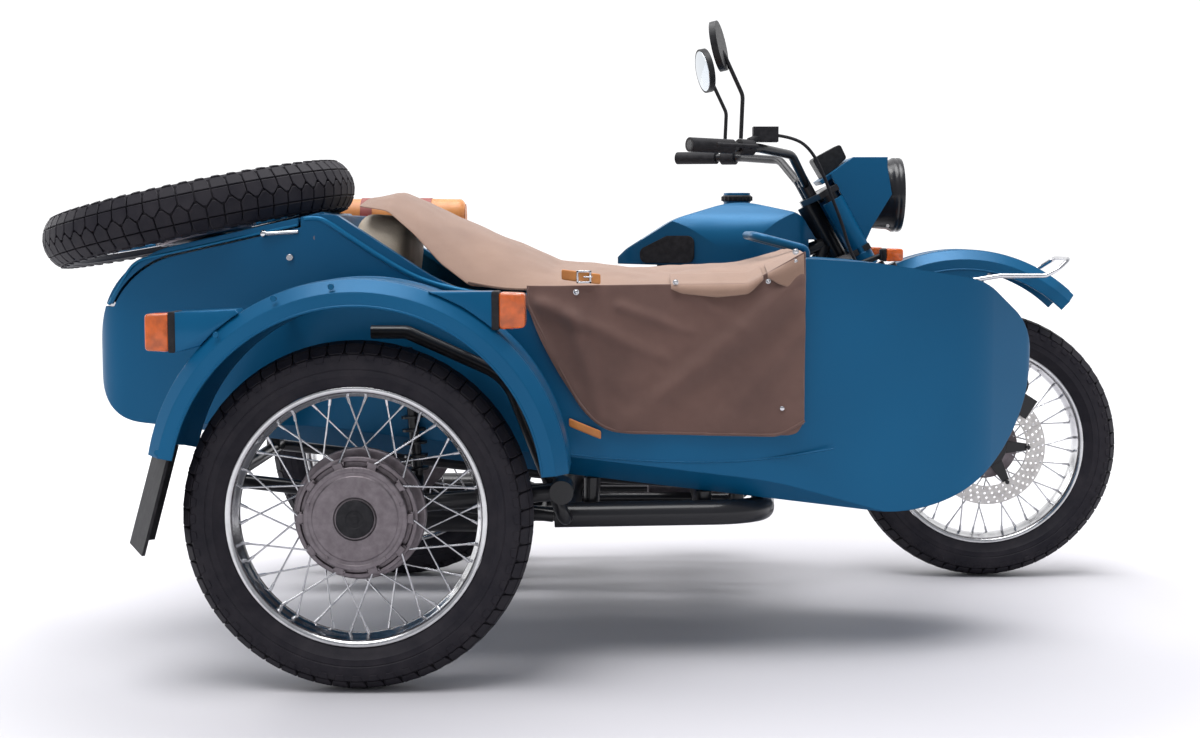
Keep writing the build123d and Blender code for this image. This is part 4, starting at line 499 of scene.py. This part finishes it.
def drum_wheel(name, body, matrix):
    tyre_shape(matrix).make(name + "_tread", tyre_mat, body, [name + "_tyre"], "tyre", 30)
    rim = Shape().lathe(rim_section, 144, matrix, True)
    rim.make(name + "_rim_polished", polished, body, [name + "_rim"], "polished", 60)
    hub = Shape().lathe(drum_section, 96, matrix)
    for index in range(spoke_pairs):
        turn = matrix @ Matrix.Rotation(-math.radians(index * 36), 4, "Y")
        hub.box((99, 24, -9), (112, 46, 9), turn)
        hub.rod((107, 34, -12), (107, 34, 12), 6, 10, turn)
    for index in range(5):
        turn = matrix @ Matrix.Rotation(-math.radians(18 + index * 72), 4, "Y")
        hub.rod((94.5, 50, 0), (94.5, 52.5, 0), 4, 8, turn)
    hub.make(name + "_drum", cast, body, [name + "_hub"], "cast_grey", 30, 0.8)
    Shape().lathe(cap_section, 48, matrix).make(name + "_cap", rubber, body, [name + "_hub"], "rubber", 30)
    wires = Shape()
    wheel_spokes(wires, 107, 35, 0, matrix)
    wheel_spokes(wires, 123, -24, 18, matrix)
    wires.make(name + "_spokes", chrome, body, [name + "_hub"], "chrome", 40)


disc_radii = [100, 113, 125, 136, 147]
disc_sides = (-68, -73)
disc_columns = 40
hole_radius = 3.6


def front_wheel(body, matrix):
    tyre_shape(matrix).make("front_tread", tyre_mat, body, ["front_tyre"], "tyre", 30)
    rim = Shape().lathe(rim_section, 144, matrix, True)
    rim.make("front_rim_polished", polished, body, ["front_rim"], "polished", 60)
    hub = Shape().lathe(front_section, 64, matrix)
    hub.make("front_hub_cast", cast, body, ["front_hub"], "cast_grey", 30)
    wires = Shape()
    wheel_spokes(wires, 77, 30, 0, matrix)
    wheel_spokes(wires, 77, -30, 18, matrix)
    wires.make("front_spokes", chrome, body, ["front_hub"], "chrome", 40)
    disc = Shape()
    for ring, (r0, r1) in enumerate(zip(disc_radii, disc_radii[1:])):
        for column in range(disc_columns):
            first = full_turn * (column + 0.25 * ring) / disc_columns
            last = first + full_turn / disc_columns
            middle_angle, middle_r = (first + last) / 2, (r0 + r1) / 2
            corners = [(r0, first), (r0, middle_angle), (r0, last), (middle_r, last),
                       (r1, last), (r1, middle_angle), (r1, first), (middle_r, first)]
            centre = Vector((middle_r * math.cos(middle_angle), 0, middle_r * math.sin(middle_angle)))
            points = []
            for y in disc_sides:
                outer = [Vector((r * math.cos(a), y, r * math.sin(a))) for r, a in corners]
                middle = centre + Vector((0, y, 0))
                points += outer + [middle + (p - middle).normalized() * hole_radius for p in outer]
            faces = []
            for i in range(8):
                j = (i + 1) % 8
                faces += [(i, j, 8 + j, 8 + i), (16 + j, 16 + i, 24 + i, 24 + j),
                          (8 + i, 8 + j, 24 + j, 24 + i)]
            if ring == 0:
                faces += [(0, 1, 17, 16), (1, 2, 18, 17)]
            if ring == 3:
                faces += [(4, 5, 21, 20), (5, 6, 22, 21)]
            disc.add(points, faces, matrix)
    disc.make("drilled_disc", steel, body, ["brake_disc"], "steel", 30)
    spider = Shape().lathe([(-56, 10.3), (-56, 40), (-68, 50), (-72, 48), (-73, 40),
                            (-73, 10.3)], 48, matrix)
    for index in range(6):
        turn = matrix @ Matrix.Rotation(-math.radians(index * 60), 4, "Y")
        spider.add([(44, -61, -17), (108, -61, -8), (108, -61, 8), (44, -61, 17),
                    (44, -67.6, -17), (108, -67.6, -8), (108, -67.6, 8), (44, -67.6, 17)],
                   [(0, 1, 2, 3), (7, 6, 5, 4), (0, 4, 5, 1), (1, 5, 6, 2), (2, 6, 7, 3),
                    (3, 7, 4, 0)], turn)
        spider.rod((104, -60, 0), (104, -75, 0), 5.5, 10, turn)
    spider.make("disc_spider", black, body, ["brake_disc"], "black_paint", 30, 0.8)


spare_low, spare_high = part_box("spare_rim")
spare_centre = ((spare_low + spare_high) / 2 - origin) / mm
lid_slope = 0.216
spare_tilt = math.atan(lid_slope)
drum_wheel("rear", "rear_wheel", Matrix.Translation((0, 0, wheel_radius)))
drum_wheel("side", "sidecar_wheel",
           Matrix.Translation((wheel_lead, -track, wheel_radius)) @ Matrix.Rotation(math.pi, 4, "Z"))
drum_wheel("spare", "boot_lid", Matrix.Translation(spare_centre) @ Matrix.Rotation(-spare_tilt, 4, "Y")
           @ Matrix.Rotation(-math.pi / 2, 4, "X"))
front_wheel("front_wheel", Matrix.Translation((wheelbase, 0, wheel_radius)))

# Canvas cover: a sheet from the seat's top to the cowl, and a sheet that hangs down the tub's right side
# Each row is a place along, and there half the width, the height at the edge and the height in the middle
cover_rows = ((24, 200, 945, 965), (84, 216, 935, 978), (140, 240, 888, 955), (200, 276, 826, 926),
              (260, 304, 782, 900), (346, 304, 775, 865), (426, 304, 775, 828), (620, 304, 778, 818),
              (820, 304, 780, 826), (936, 300, 846, 853))
cover_rear_x, cover_front_x = 24, 936
hang_rear_x = 372
side_y = -951.5
# Each fold runs from one place to another, with its width and height
folds = (((925, 800), (640, 560), 17, 11), ((925, 760), (560, 490), 22, 10),
         ((400, 745), (640, 640), 18, 11), ((940, 700), (760, 500), 20, 8), ((560, 740), (700, 690), 12, 8),
         ((460, 720), (520, 520), 16, 8), ((380, 700), (470, 560), 14, 7), ((700, 775), (820, 690), 14, 6))
hang_bottom = [(0, 742), (0.035, 600), (0.14, 520), (0.24, 489), (0.3, 484), (0.94, 477), (0.975, 482),
               (1.0, 508)]
rear_lean = [(484, 28), (489, 33), (520, 45), (600, 46), (653, 23), (700, 7), (742, 0)]


def cover_value(index, x):
    return table([(row[0], row[index]) for row in cover_rows], x)


def fold(x, z):
    """How far the hanging cloth stands off the tub."""
    pull = 0.0
    point = Vector((x, z))
    for start, end, width, height in folds:
        start = Vector(start)
        along = Vector(end) - start
        t = min(1.0, max(0.0, (point - start).dot(along) / along.length_squared))
        away = (point - start - along * t).length
        pull += height * (1 - 0.6 * t) * math.exp(-(away / width) ** 2)
    return pull + 2.5 * noise.noise(Vector((x / 90, z / 70, 3))) + noise.noise(Vector((x / 26, z / 24, 8)))


def side_point(s, t):
    """A point of the hanging part: s from its rear edge to its front, t from its top down."""
    x_top = lerp(hang_rear_x, cover_front_x, s)
    top, bottom = cover_value(2, x_top) + 8, table(hang_bottom, s)
    z = lerp(top, bottom, t)
    x = x_top + table(rear_lean, z) * (1 - s)
    round_over = min(1.0, t * (top - bottom) / 30)
    return (x, side_y - 5 - fold(x, z) * round_over - 2 * t, z)


def crowned(edge, ridge, v):
    """The height of the top sheet at a share of its half width."""
    return edge + (ridge - edge) * (1 - abs(v) ** 2.2)


def cover_piece(shape, name, material, slot, crease, *modifiers):
    return shape.make(name, material, "chassis", ["cockpit_cover"], slot, crease, *modifiers)


def hem(name, points, radius, material):
    return tube(name, points, radius, material, "chassis", ["cockpit_cover"], 2)


top_rows = []
for i in range(116):
    x = cover_rear_x + (cover_front_x - cover_rear_x) * i / 115
    reach, edge, ridge = (cover_value(k, x) for k in (1, 2, 3))
    row = []
    for j in range(45):
        v = 1 - j / 22
        sag = -7 * math.exp(-((x - 620) / 130) ** 2) * (1 - v * v)
        wave = 5 * noise.noise(Vector((x / 120, v * 2.2, 1)))
        wave += 2.2 * noise.noise(Vector((x / 40, v * 6, 2)))
        z = crowned(edge, ridge, v) + (sag + wave) * (1 - v ** 6)
        row.append((x + 10 * v * (1 - i / 115), tub_middle_y + v * reach, z))
    top_rows.append(row)
# The top sheet is in the lighter canvas of painted light, the hanging side in the darker canvas of painted
# shade
cover = cover_piece(Shape().grid(top_rows), "cover_top", painted_lit_canvas, "canvas", 60, 0, 2.4, 1)
hang = Shape().grid([[side_point(i / 96, j / 60) for j in range(61)] for i in range(97)])
hang_piece = cover_piece(hang, "cover_side", canvas, "canvas", 60, 0, 2.4, 1)

# Hems, snaps, straps and buckle of the cover
hem_front = [(930, side_y - 4, 838), (931, side_y - 5, 720), (932, side_y - 5, 600), (932, side_y - 5, 500)]
edge_places = [lerp(250, 930, i / 14) for i in range(15)]
front_hem = hem("cover_front_hem", hem_front, 3.2, canvas)
low_hem = hem("cover_low_hem", [side_point(i / 12, 1.0) for i in range(13)], 3.4, canvas)
rear_hem = hem("cover_rear_hem", [side_point(0.0, i / 8) for i in range(9)], 2.6, canvas)
hem_edge = [(x, side_y - 1.5, cover_value(2, x) + 1) for x in edge_places]
edge_hem = hem("cover_edge_hem", hem_edge, 3.0, painted_lit_canvas)
snap_places = [(915, 852, 6.5), (916, 832, 6.5), (908, 736, 7.5), (890, 533, 7.5), (672, 790, 6),
               (470, 770, 6), (860, 792, 5)]
snap_shares = [(-2.5, 1), (-2.5, 0.7), (1.5, 0.62), (2.5, 0.4)]
fasteners = Shape()
for x, z, size in snap_places:
    fasteners.lathe([(y, share * size) for y, share in snap_shares] + [(2.5, 0.01)], 20,
                    Matrix.Translation((x, side_y - 10, z)) @ Matrix.Rotation(math.pi, 4, "Z"))
snaps = cover_piece(fasteners, "cover_snaps", chrome, "chrome", 40)


def strap_rows(start, end, y, rise, offsets, count):
    """A strap between two places of the cover's side, bowed outwards."""
    rows = []
    for i in range(count + 1):
        x, z = (lerp(a, b, i / count) for a, b in zip(start, end))
        out = y - rise * math.sin(i / count * math.pi)
        rows.append([(x, out, z + offset) for offset in offsets])
    return rows


buckle_x, buckle_z = 486, 801
strap = Shape().grid(strap_rows((455, 505), (521, 478), side_y - 12, 3, (-9, -3, 3, 9), 10))
strap.grid(strap_rows((440, 806), (520, 796), side_y - 6, 6, (-11, -4, 4, 11), 12))
straps = cover_piece(strap, "cover_straps", tan, "tan_leather", 60, 0, 3.0, 1)
buckle_out, buckle_in = side_y - 16, side_y - 12.5
buckle = Shape()
for z in (buckle_z + 9, buckle_z - 13):
    buckle.box((buckle_x - 15, buckle_out, z), (buckle_x + 15, buckle_in, z + 4))
for x in (buckle_x - 15, buckle_x + 11):
    buckle.box((x, buckle_out, buckle_z - 13), (x + 4, buckle_in, buckle_z + 13))
buckle.box((buckle_x - 1, side_y - 17, buckle_z - 1.5), (buckle_x + 17, side_y - 13.5, buckle_z + 1.5))
buckle_piece = cover_piece(buckle, "cover_buckle", chrome, "chrome", 30, 0.6)

# Two flaps turned down over the cover's edge, ahead of the seat
flap_drops = ((662, 850, ((0, 2), (0.12, 12), (0.5, 20), (0.85, 14), (1, 2))),
              (858, 932, ((0, 2), (0.3, 28), (0.8, 62), (1, 66))))
flaps = Shape()
for first, last, drops in flap_drops:
    rows = []
    for i in range(25):
        x = lerp(first, last, i / 24)
        reach, edge, ridge = (cover_value(k, x) for k in (1, 2, 3))
        drop = table(drops, i / 24)
        out = side_y - 13 - 4 * math.sin(i / 24 * math.pi)
        row = [(x, out, edge - drop * (1 - j / 4)) for j in range(4)]
        row += [(x, side_y - 9, edge + 7)]
        shares = [-1 + 0.045 * j for j in range(1, 7)]
        row += [(x, tub_middle_y + v * reach, crowned(edge, ridge, v) + 6) for v in shares]
        rows.append(row)
    flaps.grid(rows)
flap_piece = cover_piece(flaps, "cover_flaps", painted_lit_canvas, "canvas", 60, 0, 2.2, 1)


# Passenger's seat
def pillow(name, low, high, tilt):
    """A crowned closed form between two corners."""
    centre = (Vector(low) + Vector(high)) / 2
    size = (Vector(high) - Vector(low)) / 2
    work = bmesh.new()
    bmesh.ops.create_cube(work, size=2)
    bmesh.ops.subdivide_edges(work, edges=work.edges[:], cuts=22, use_grid_fill=True)
    turn = Matrix.Rotation(math.radians(tilt), 3, "Y")
    for vert in work.verts:
        p = vert.co.copy()
        p = p / sum(abs(c) ** pillow_power for c in p) ** (1 / pillow_power)
        crown = 1 + 0.05 * (1 - min(1.0, max(abs(p.x), abs(p.y)) ** 4))
        p = Vector((p.x, p.y, p.z * crown))
        vert.co = centre + turn @ Vector((p.x * size.x, p.y * size.y, p.z * size.z))
    shape = Shape()
    work.verts.ensure_lookup_table()
    shape.add([v.co for v in work.verts], [[v.index for v in f.verts] for f in work.faces])
    work.free()
    shape.make(name, cream, "chassis", ["sidecar_seat"], "cream_leather", 80)


pillow_power = 6
pillow("seat_back", (-32, -852, 500), (92, -448, 918), 8)
pillow("seat_cushion", (60, -852, 445), (540, -448, 562), 0)


# Rider's saddle: wide and raised at the back, narrow at the nose, with a welt round its upper edge
saddle_middle, saddle_reach, saddle_foot = 338, 187.4, 743
saddle_halves = [(150, 131), (338, 131), (526, 69.5)]
saddle_tops = [(150, 836), (338, 808), (526, 807)]


def end_round(end, radius):
    """How far a rounded end draws in at a distance from it."""
    return radius * (1 - math.sqrt(max(0.0, 1 - (1 - min(1.0, end / radius)) ** 2)))


def saddle_row(x):
    """Half width, underside and top of the saddle at one place along it."""
    end = saddle_reach - abs(x - saddle_middle)
    side_round = end_round(end, 30)
    return (table(saddle_halves, x) - end_round(end, 60), saddle_foot + side_round * 0.7,
            table(saddle_tops, x) - side_round)


saddle = Shape()
saddle_rows = []
for i in range(57):
    x = saddle_middle - saddle_reach * math.cos(math.pi * i / 56)
    wide, low, high = saddle_row(x)
    row = []
    for k in range(65):
        turn = full_turn * k / 64
        c, d = math.cos(turn), math.sin(turn)
        y = wide * math.copysign(abs(c) ** 0.5, c)
        dip = 7 * math.exp(-((x - 330) / 90) ** 2) * (1 - (y / wide) ** 2) if d > 0 else 0.0
        crease = 0.9 * noise.noise(Vector((x / 40, y / 40, 5)))
        z = (low + high) / 2 + (high - low) / 2 * math.copysign(abs(d) ** 0.55, d) - dip + crease - 0.9
        row.append((x, y, z))
    saddle_rows.append(row)
saddle.grid(saddle_rows)
for end_row in (saddle_rows[0], saddle_rows[-1]):
    x = end_row[0][0]
    wide, low, high = saddle_row(x)
    centre = Vector((x, 0, (low + high) / 2))
    saddle.grid([[tuple(centre.lerp(Vector(p), t)) for p in end_row] for t in (1.0, 0.7, 0.4, 0.02)])
saddle_piece = saddle.make("saddle_leather", tan, "chassis", ["saddle"], "tan_leather", 60)
welt = []
for i in range(25):
    x = saddle_middle - 184 * math.cos(math.pi * i / 24)
    wide, low, high = saddle_row(x)
    welt.append((x, wide * 0.93, high - 9))
welt = welt + [(x, -y, z) for x, y, z in reversed(welt)]
tube("saddle_welt", welt + [welt[0]], 2.4, tan, "chassis", ["saddle"], 3)

# Leather roll on the rack: a long soft cylinder with two bands round it
roll_z = 926.3
band_places = (-88, 62)
roll = Shape()
roll_rows = []
for i in range(61):
    along = i / 60
    x = lerp(-194, 164, along)
    end = min(along, 1 - along) * 360
    size = 50.5 * (1 - max(0.0, 1 - end / 14) ** 2 * 0.32)
    row = []
    for k in range(49):
        turn = full_turn * k / 48
        dent = sum(2.2 * math.exp(-((x - place) / 9) ** 2) for place in band_places)
        puff = 1.6 * noise.noise(Vector((x / 60, math.cos(turn) * 1.5, math.sin(turn) * 1.5)))
        radius = size - dent + puff - 1.4
        row.append((x, radius * math.cos(turn), roll_z + radius * math.sin(turn)))
    roll_rows.append(row)
roll.grid(roll_rows)
for end_row, depth in ((roll_rows[0], 3), (roll_rows[-1], -3)):
    centre = Vector((end_row[0][0] + depth, 0, roll_z))
    roll.grid([[tuple(centre.lerp(Vector(p), t)) for p in end_row] for t in (1.0, 0.94, 0.6, 0.3, 0.02)])
roll_piece = roll.make("leather_roll_soft", tan, "chassis", ["leather_roll"], "tan_leather", 50)
bands = Shape()
band_turns = [full_turn * k / 64 for k in range(65)]
for place in band_places:
    bands.grid([[(place + x, size * math.cos(turn), roll_z + size * math.sin(turn)) for turn in band_turns]
                for x, size in ((-15, 48.4), (-15, 51.2), (15, 51.2), (15, 48.4))])
bands.make("roll_straps", dark_red, "chassis", ["leather_roll"], "tan_leather", 30)
end_seams = Shape()
for x in (-193.5, 163.5):
    end_seams.lathe([(-0.2, 36), (0.2, 36), (0.2, 33), (-0.2, 33)], 48,
                    Matrix.Translation((x, 0, roll_z)) @ Matrix.Rotation(-math.pi / 2, 4, "Z"), True)
end_seams.make("roll_end_seams", dark_red, "chassis", ["leather_roll"], "tan_leather", 30)


# Marker lamps on the sidecar mudguard: blue housing, black gasket and amber lens
def arc_points(centre, radius, first, last, steps):
    turns = [math.radians(lerp(first, last, i / steps)) for i in range(steps + 1)]
    return [(centre[0] + radius * math.cos(t), centre[1] + radius * math.sin(t)) for t in turns]


def slab(shape, outline, low_y, high_y, edge=3.0):
    """A solid between two Y places with softened rims, from its outline seen from the side."""
    count = len(outline)
    middle = Vector((sum(p[0] for p in outline) / count, sum(p[1] for p in outline) / count))
    rings = []
    for y, inset in ((low_y, edge), (low_y + edge * 0.3, edge * 0.3), (low_y + edge, 0), (high_y - edge, 0),
                     (high_y - edge * 0.3, edge * 0.3), (high_y, edge)):
        ring = []
        for x, z in outline:
            away = middle - Vector((x, z))
            place = Vector((x, z)) + away.normalized() * inset
            ring.append((place.x, y, place.y))
        rings.append(ring)
    points = [p for ring in rings for p in ring]
    faces = [(r + i, r + (i + 1) % count, r + count + (i + 1) % count, r + count + i)
             for r in range(0, 5 * count, count) for i in range(count)]
    faces += [tuple(range(count)), tuple(5 * count + i for i in range(count))]
    return shape.add(points, faces)


def rounded(corners, radius, steps=4):
    """An outline with its corners rounded."""
    outline = []
    count = len(corners)
    for i in range(count):
        before, here, after = (Vector(corners[j % count]) for j in (i - 1, i, i + 1))
        start = here + (before - here).normalized() * min(radius, (before - here).length / 2)
        end = here + (after - here).normalized() * min(radius, (after - here).length / 2)
        for k in range(steps + 1):
            t = k / steps
            point = start.lerp(here, t).lerp(here.lerp(end, t), t)
            outline.append((point.x, point.y))
    return outline


lamp_low, lamp_high = -1227, -1163
front_arc = arc_points(side_guard_centre, 404.5, 49.6, 70.0, 8)
rear_arc = arc_points(side_guard_centre, 404.5, 123.0, 137.0, 6)
housings = Shape()
slab(housings, front_arc + [(200, 780.5), (318, 780.5)], lamp_low, lamp_high)
slab(housings, rear_arc + [(-284, 664), (-284, 741), (-166, 747)], lamp_low, lamp_high)
housings.make("marker_housings", blue, "chassis", ["fender_lamps"], "blue_paint", 50)
gaskets, lenses = Shape(), Shape()
for outline in ([(317, 708), (317, 780.8), (331, 780.8), (331, 707.5)],
                [(-294, 664.5), (-294, 741.8), (-280, 742), (-280, 664.5)]):
    slab(gaskets, rounded(outline, 3), lamp_low - 0.5, lamp_high + 0.5, 2)
for outline in ([(330, 709), (330, 779), (380, 777), (380, 712)],
                [(-293, 666), (-293, 740), (-339, 738), (-339, 668)]):
    slab(lenses, rounded(outline, 8), lamp_low + 1, lamp_high - 1, 5)
gaskets.make("marker_gaskets", rubber, "chassis", ["fender_lamps"], "rubber", 50)
lenses.make("marker_lenses", amber, "chassis", ["fender_lamps"], "amber", 50)

# Front direction lamps
signal_front = [(1218, 817.5), (1218, 850.5), (1260, 849), (1260, 819)]
signal_back = [(1206.5, 820), (1206.5, 848), (1219, 851), (1219, 817)]
signal_lens, signal_case = Shape(), Shape()
for side in (-1, 1):
    near, far = sorted((side * 139, side * 187))
    slab(signal_lens, rounded(signal_front, 7), near + 1, far - 1, 4)
    slab(signal_case, rounded(signal_back, 4), near, far, 3)
    signal_case.rod((1147, side * 128, 806), (1147, side * 146, 806), 7, 16)
    signal_case.rod((1147, side * 146, 806), (1210, side * 148, 832), 7, 16)
signal_lens.make("signal_lenses", amber, "steering", ["front_signals"], "amber", 50)
signal_case.make("signal_cases", plastic, "steering", ["front_signals"], "plastic", 50)

# Trim of the tub: a bead along its edge, in a lighter blue that paints the highlight on the edge, a crease
# low on its side, rods, knobs and bolts
tub_side = -949.2
bead = [(-84, -944, 918), (-57, -946, 922), (-31, -948, 909), (9, -948.5, 881), (70, -948.5, 841),
        (121, -948.5, 810), (172, -948.5, 788), (253, -948.5, 768), (340, -948.5, 763), (420, -948.5, 764)]
tube("tub_bead", bead, 6.0, painted_highlight_blue, "chassis", (), 3)
crease = [(380, -949.5, 446), (457, -949.8, 436), (560, -949.8, 426), (683, -949.8, 420),
          (806, -949.8, 422), (908, -947, 433), (1000, -941, 448)]
tube("tub_crease", crease, 2.0, blue, "chassis", (), 2)
# The lid's bead, in the lighter blue of the painted highlight
lid_bead = [(-508, -872, 741), (-470, -890, 800), (-440, -898, 835), (-380, -902, 846), (-240, -925, 876),
            (-98, -944, 906)]
tube("lid_bead", lid_bead, 3.2, painted_highlight_blue, "boot_lid", (), 2)
trims = Shape()
trims.rod((-166, -943, 888), (-96, -946, 892), 4.5, 16)
trims.lathe([(-8, 0.01), (-7, 5), (0, 8.5), (7, 5), (8, 0.01)], 20, Matrix.Translation((-168, -942, 888)))
trims.rod((-114, -938, 840), (-114, -950, 840), 7, 16)
trims.rod((-496, -862, 739), (-496, -876, 739), 8, 16)
trims.make("tub_brightwork", chrome, "chassis", (), "chrome", 40, 0.6)
tub_bolts = Shape()
for x, z in ((396, 742), (436, 470), (-60, 880), (-30, 600), (-30, 700), (300, 470), (-300, 560)):
    tub_bolts.rod((x, tub_side + 3.5, z), (x, tub_side, z), 5.5, 12)
tub_bolts.make("tub_bolts", cast, "chassis", (), "cast_grey", 30)

# Filler cap on the tank, with a ribbed grip
cap_x, cap_z, cap_grip_radius = 861, 968, 38
cap = Shape().lathe([(0, 36), (4, 38.5), (13, 38.5), (16, 35), (17.5, 20), (18, 0.01)], 60,
                    Matrix.Translation((cap_x, 0, cap_z)) @ Matrix.Rotation(math.pi / 2, 4, "X"))
for index in range(20):
    turn = full_turn * index / 20
    x, y = cap_x + cap_grip_radius * math.cos(turn), cap_grip_radius * math.sin(turn)
    cap.rod((x, y, cap_z + 2), (x, y, cap_z + 13), 2.2, 8)
cap.make("tank_cap", plastic, "chassis", (), "plastic", 40)


# Pressed lines, rolled edges and bolts of the mudguards
def ring_line(shape, centre, radius, first, last, y, size, steps=72):
    """A thin raised line round a mudguard."""
    rows = []
    ring_turns = [full_turn * k / 8 for k in range(9)]
    for i in range(steps + 1):
        turn = math.radians(lerp(first, last, i / steps))
        out = Vector((math.cos(turn), 0, math.sin(turn)))
        base = Vector((centre[0], y, centre[1])) + out * radius
        rows.append([base + Vector((0, size * math.cos(a), 0)) + out * size * math.sin(a)
                     for a in ring_turns])
    shape.grid(rows)


guard_lines = Shape()
for y in (-1209, -1071):
    ring_line(guard_lines, side_guard_centre, 403.0, 8, 167, y, 2.6)
ring_line(guard_lines, side_guard_centre, 354, 6, 169, -1243.4, 3.0)
for x, z in ((-314, 477), (-199, 700), (-90, 768), (190, 748), (18, 790)):
    guard_lines.rod((x, -1244.8, z), (x, -1241, z), 6, 14)
guard_lines.make("side_guard_lines", blue, "chassis", (), "blue_paint", 50)
front_lines = Shape()
for y in (-44, 44):
    ring_line(front_lines, front_guard_centre, 408, 48, 117, y, 2.4, 48)
for y in (-69.2, 69.2):
    ring_line(front_lines, front_guard_centre, 360, 47, 117, y, 2.6, 48)
for x, z in ((1631, 754), (1405, 764), (1468, 764)):
    for y in (-69.9, 69.9):
        front_lines.rod((x, y, z), (x, y * 0.97, z), 5.5, 14)
front_lines.make("front_guard_lines", blue, "steering", (), "blue_paint", 50)

# Reflecting glass of the two mirrors, on the rider's side of each case
mirror_x, mirror_y, mirror_z = 794, 320, 1330
mirror_faces = Shape()
for side in (-1, 1):
    back = Vector((-0.949, -0.242 * side, -0.202))
    turn = Vector((0, 1, 0)).rotation_difference(back).to_matrix().to_4x4()
    mirror_faces.lathe([(7.4, 55), (8.6, 54.5), (9.1, 52), (9.2, 0.01)], 60,
                       Matrix.Translation((mirror_x, mirror_y * side, mirror_z)) @ turn)
mirror_faces.make("mirror_faces", mirror_glass, "steering", (), "chrome", 40)

# Front brake hose, from the fluid box on the handlebar to the calliper
hose_route = [(940.5, -274.0, 1122.0), (985.0, -270.0, 1116.0), (1025.0, -255.0, 1085.0),
              (1056.0, -222.0, 1032.0), (1082.0, -188.0, 975.0), (1110.0, -168.0, 912.0),
              (1128.0, -168.0, 850.0), (1160.0, -160.0, 790.0), (1208.0, -148.0, 730.0),
              (1258.0, -140.0, 672.0), (1310.0, -138.0, 618.0), (1372.0, -137.0, 592.0),
              (1440.0, -128.0, 585.0), (1508.0, -112.0, 572.0), (1568.0, -88.0, 542.0),
              (1606.7, -71.0, 506.4), (1590.6, -71.0, 481.6)]
hose = tube("brake_hose", hose_route, 4, rubber, "steering", ["cables"], 3)

# Headlamp: bucket and bezel in one, reflector and screws
lamp_turn = Matrix.Translation((1155, 0, 985)) @ Matrix.Rotation(-math.pi / 2, 4, "Z")
bucket_profile = [(1, 0.01), (2, 50), (14, 72), (40, 84), (90, 88), (98, 92), (102, 94.6), (108, 94.8),
                  (111, 93.4), (114, 94.8), (120, 94.6), (124.5, 92), (125.5, 88), (123, 86.5), (110, 86.5)]
reflector_profile = [(110, 86.5), (96, 83), (70, 72), (50, 58), (36, 40), (30, 18), (29, 12), (48, 11),
                     (50, 0.01)]
lamp_rim = Shape().lathe(bucket_profile, 96, lamp_turn)
lamp_rim.make("headlamp_rim", black, "steering", ["headlamp"], "black_paint", 40)
reflector = Shape().lathe(reflector_profile, 72, lamp_turn)
reflector.make("headlamp_reflector", polished, "steering", ["headlamp"], "polished", 40)
lamp_screws = Shape()
for x, y, z, size in ((1232, -90, 991, 6), (1240, -57, 906, 4.5), (1240, 57, 906, 4.5)):
    lamp_screws.rod((x, y, z), (x, y * 1.03, z), size, 14)
lamp_screws.make("headlamp_screws", steel, "steering", ["headlamp"], "steel", 30)

# Stage: a plain pale floor, with a painted shadow that makes it darker near the vehicle
floor_mesh = bpy.data.meshes.new("floor")
floor_edge = 30.0
floor_corners = [(x * floor_edge, y * floor_edge, 0) for x, y in ((-1, -1), (1, -1), (1, 1), (-1, 1))]
floor_mesh.from_pydata(floor_corners, [], [(0, 1, 2, 3)])
floor_piece = bpy.data.objects.new("floor", floor_mesh)
scene.collection.objects.link(floor_piece)
floor_mat, floor_tree, floor_shader = new_material("pale_floor", (0.9, 0.9, 0.91), 0.6)
floor_vector = places(floor_tree)
floor_tree.links.new(spread_to(floor_tree, noise_node(floor_tree, floor_vector, 0.8, 3.0), 0.55, 0.65),
                     floor_shader.inputs["Roughness"])
reach_node = add_node(floor_tree, "VectorMath", operation="LENGTH")
floor_tree.links.new(floor_vector, reach_node.inputs[0])
painted_shadow_share = maths(floor_tree, "MULTIPLY", reach_node.outputs["Value"], 0.2)
# Painted shadow: the floor's colour darkens close to the vehicle
floor_tree.links.new(ramp(floor_tree, painted_shadow_share, [(0.26, (0.56, 0.55, 0.58)), (0.62, (0.9, 0.9, 0.91))]),
                     floor_shader.inputs["Base Color"])
floor_mesh.materials.append(floor_mat)

# The room is bright behind the vehicle and dim on the other sides
world = bpy.data.worlds.new("studio")
world.use_nodes = True
room = world.node_tree
direction = add_node(room, "TexCoord").outputs["Generated"]
split = add_node(room, "SeparateXYZ")
room.links.new(direction, split.inputs["Vector"])
glow = ramp(room, split.outputs["Y"], [(0.1, (0.42, 0.43, 0.46)), (0.62, (1.12, 1.12, 1.13))])
room.links.new(glow, room.nodes["Background"].inputs["Color"])
scene.world = world

sun = bpy.data.lights.new("sky_panel", "SUN")
sun.energy = 2.7
sun.angle = math.radians(42)
sun_piece = bpy.data.objects.new("sky_panel", sun)
scene.collection.objects.link(sun_piece)
sun_piece.rotation_euler = (math.radians(14), math.radians(-8), 0)


def soft_light(name, place, target, size, energy):
    light = bpy.data.lights.new(name, "AREA")
    light.shape = "RECTANGLE"
    light.size, light.size_y = size
    light.energy = energy
    obj = bpy.data.objects.new(name, light)
    scene.collection.objects.link(obj)
    obj.location = place
    obj.rotation_euler = (Vector(target) - Vector(place)).to_track_quat("-Z", "Y").to_euler()


soft_light("overhead", (0.2, 0.5, 2.9), (0, 0, 0.5), (3.4, 1.1), 60)
soft_light("rear_left", (-3.2, 2.4, 2.2), (0, 0, 0.5), (2.0, 2.0), 50)

# Camera at the photo's place and angle
scene.view_settings.view_transform = "Standard"
camera = bpy.data.cameras.new("camera")
camera.lens = 52.01
camera.sensor_width = 36.0
camera_piece = bpy.data.objects.new("camera", camera)
scene.collection.objects.link(camera_piece)
camera_piece.location = at((553.8, -4482.4, 897.5))
camera_piece.rotation_euler = (math.pi / 2 - 0.0805, 0, 0.01)
scene.camera = camera_piece
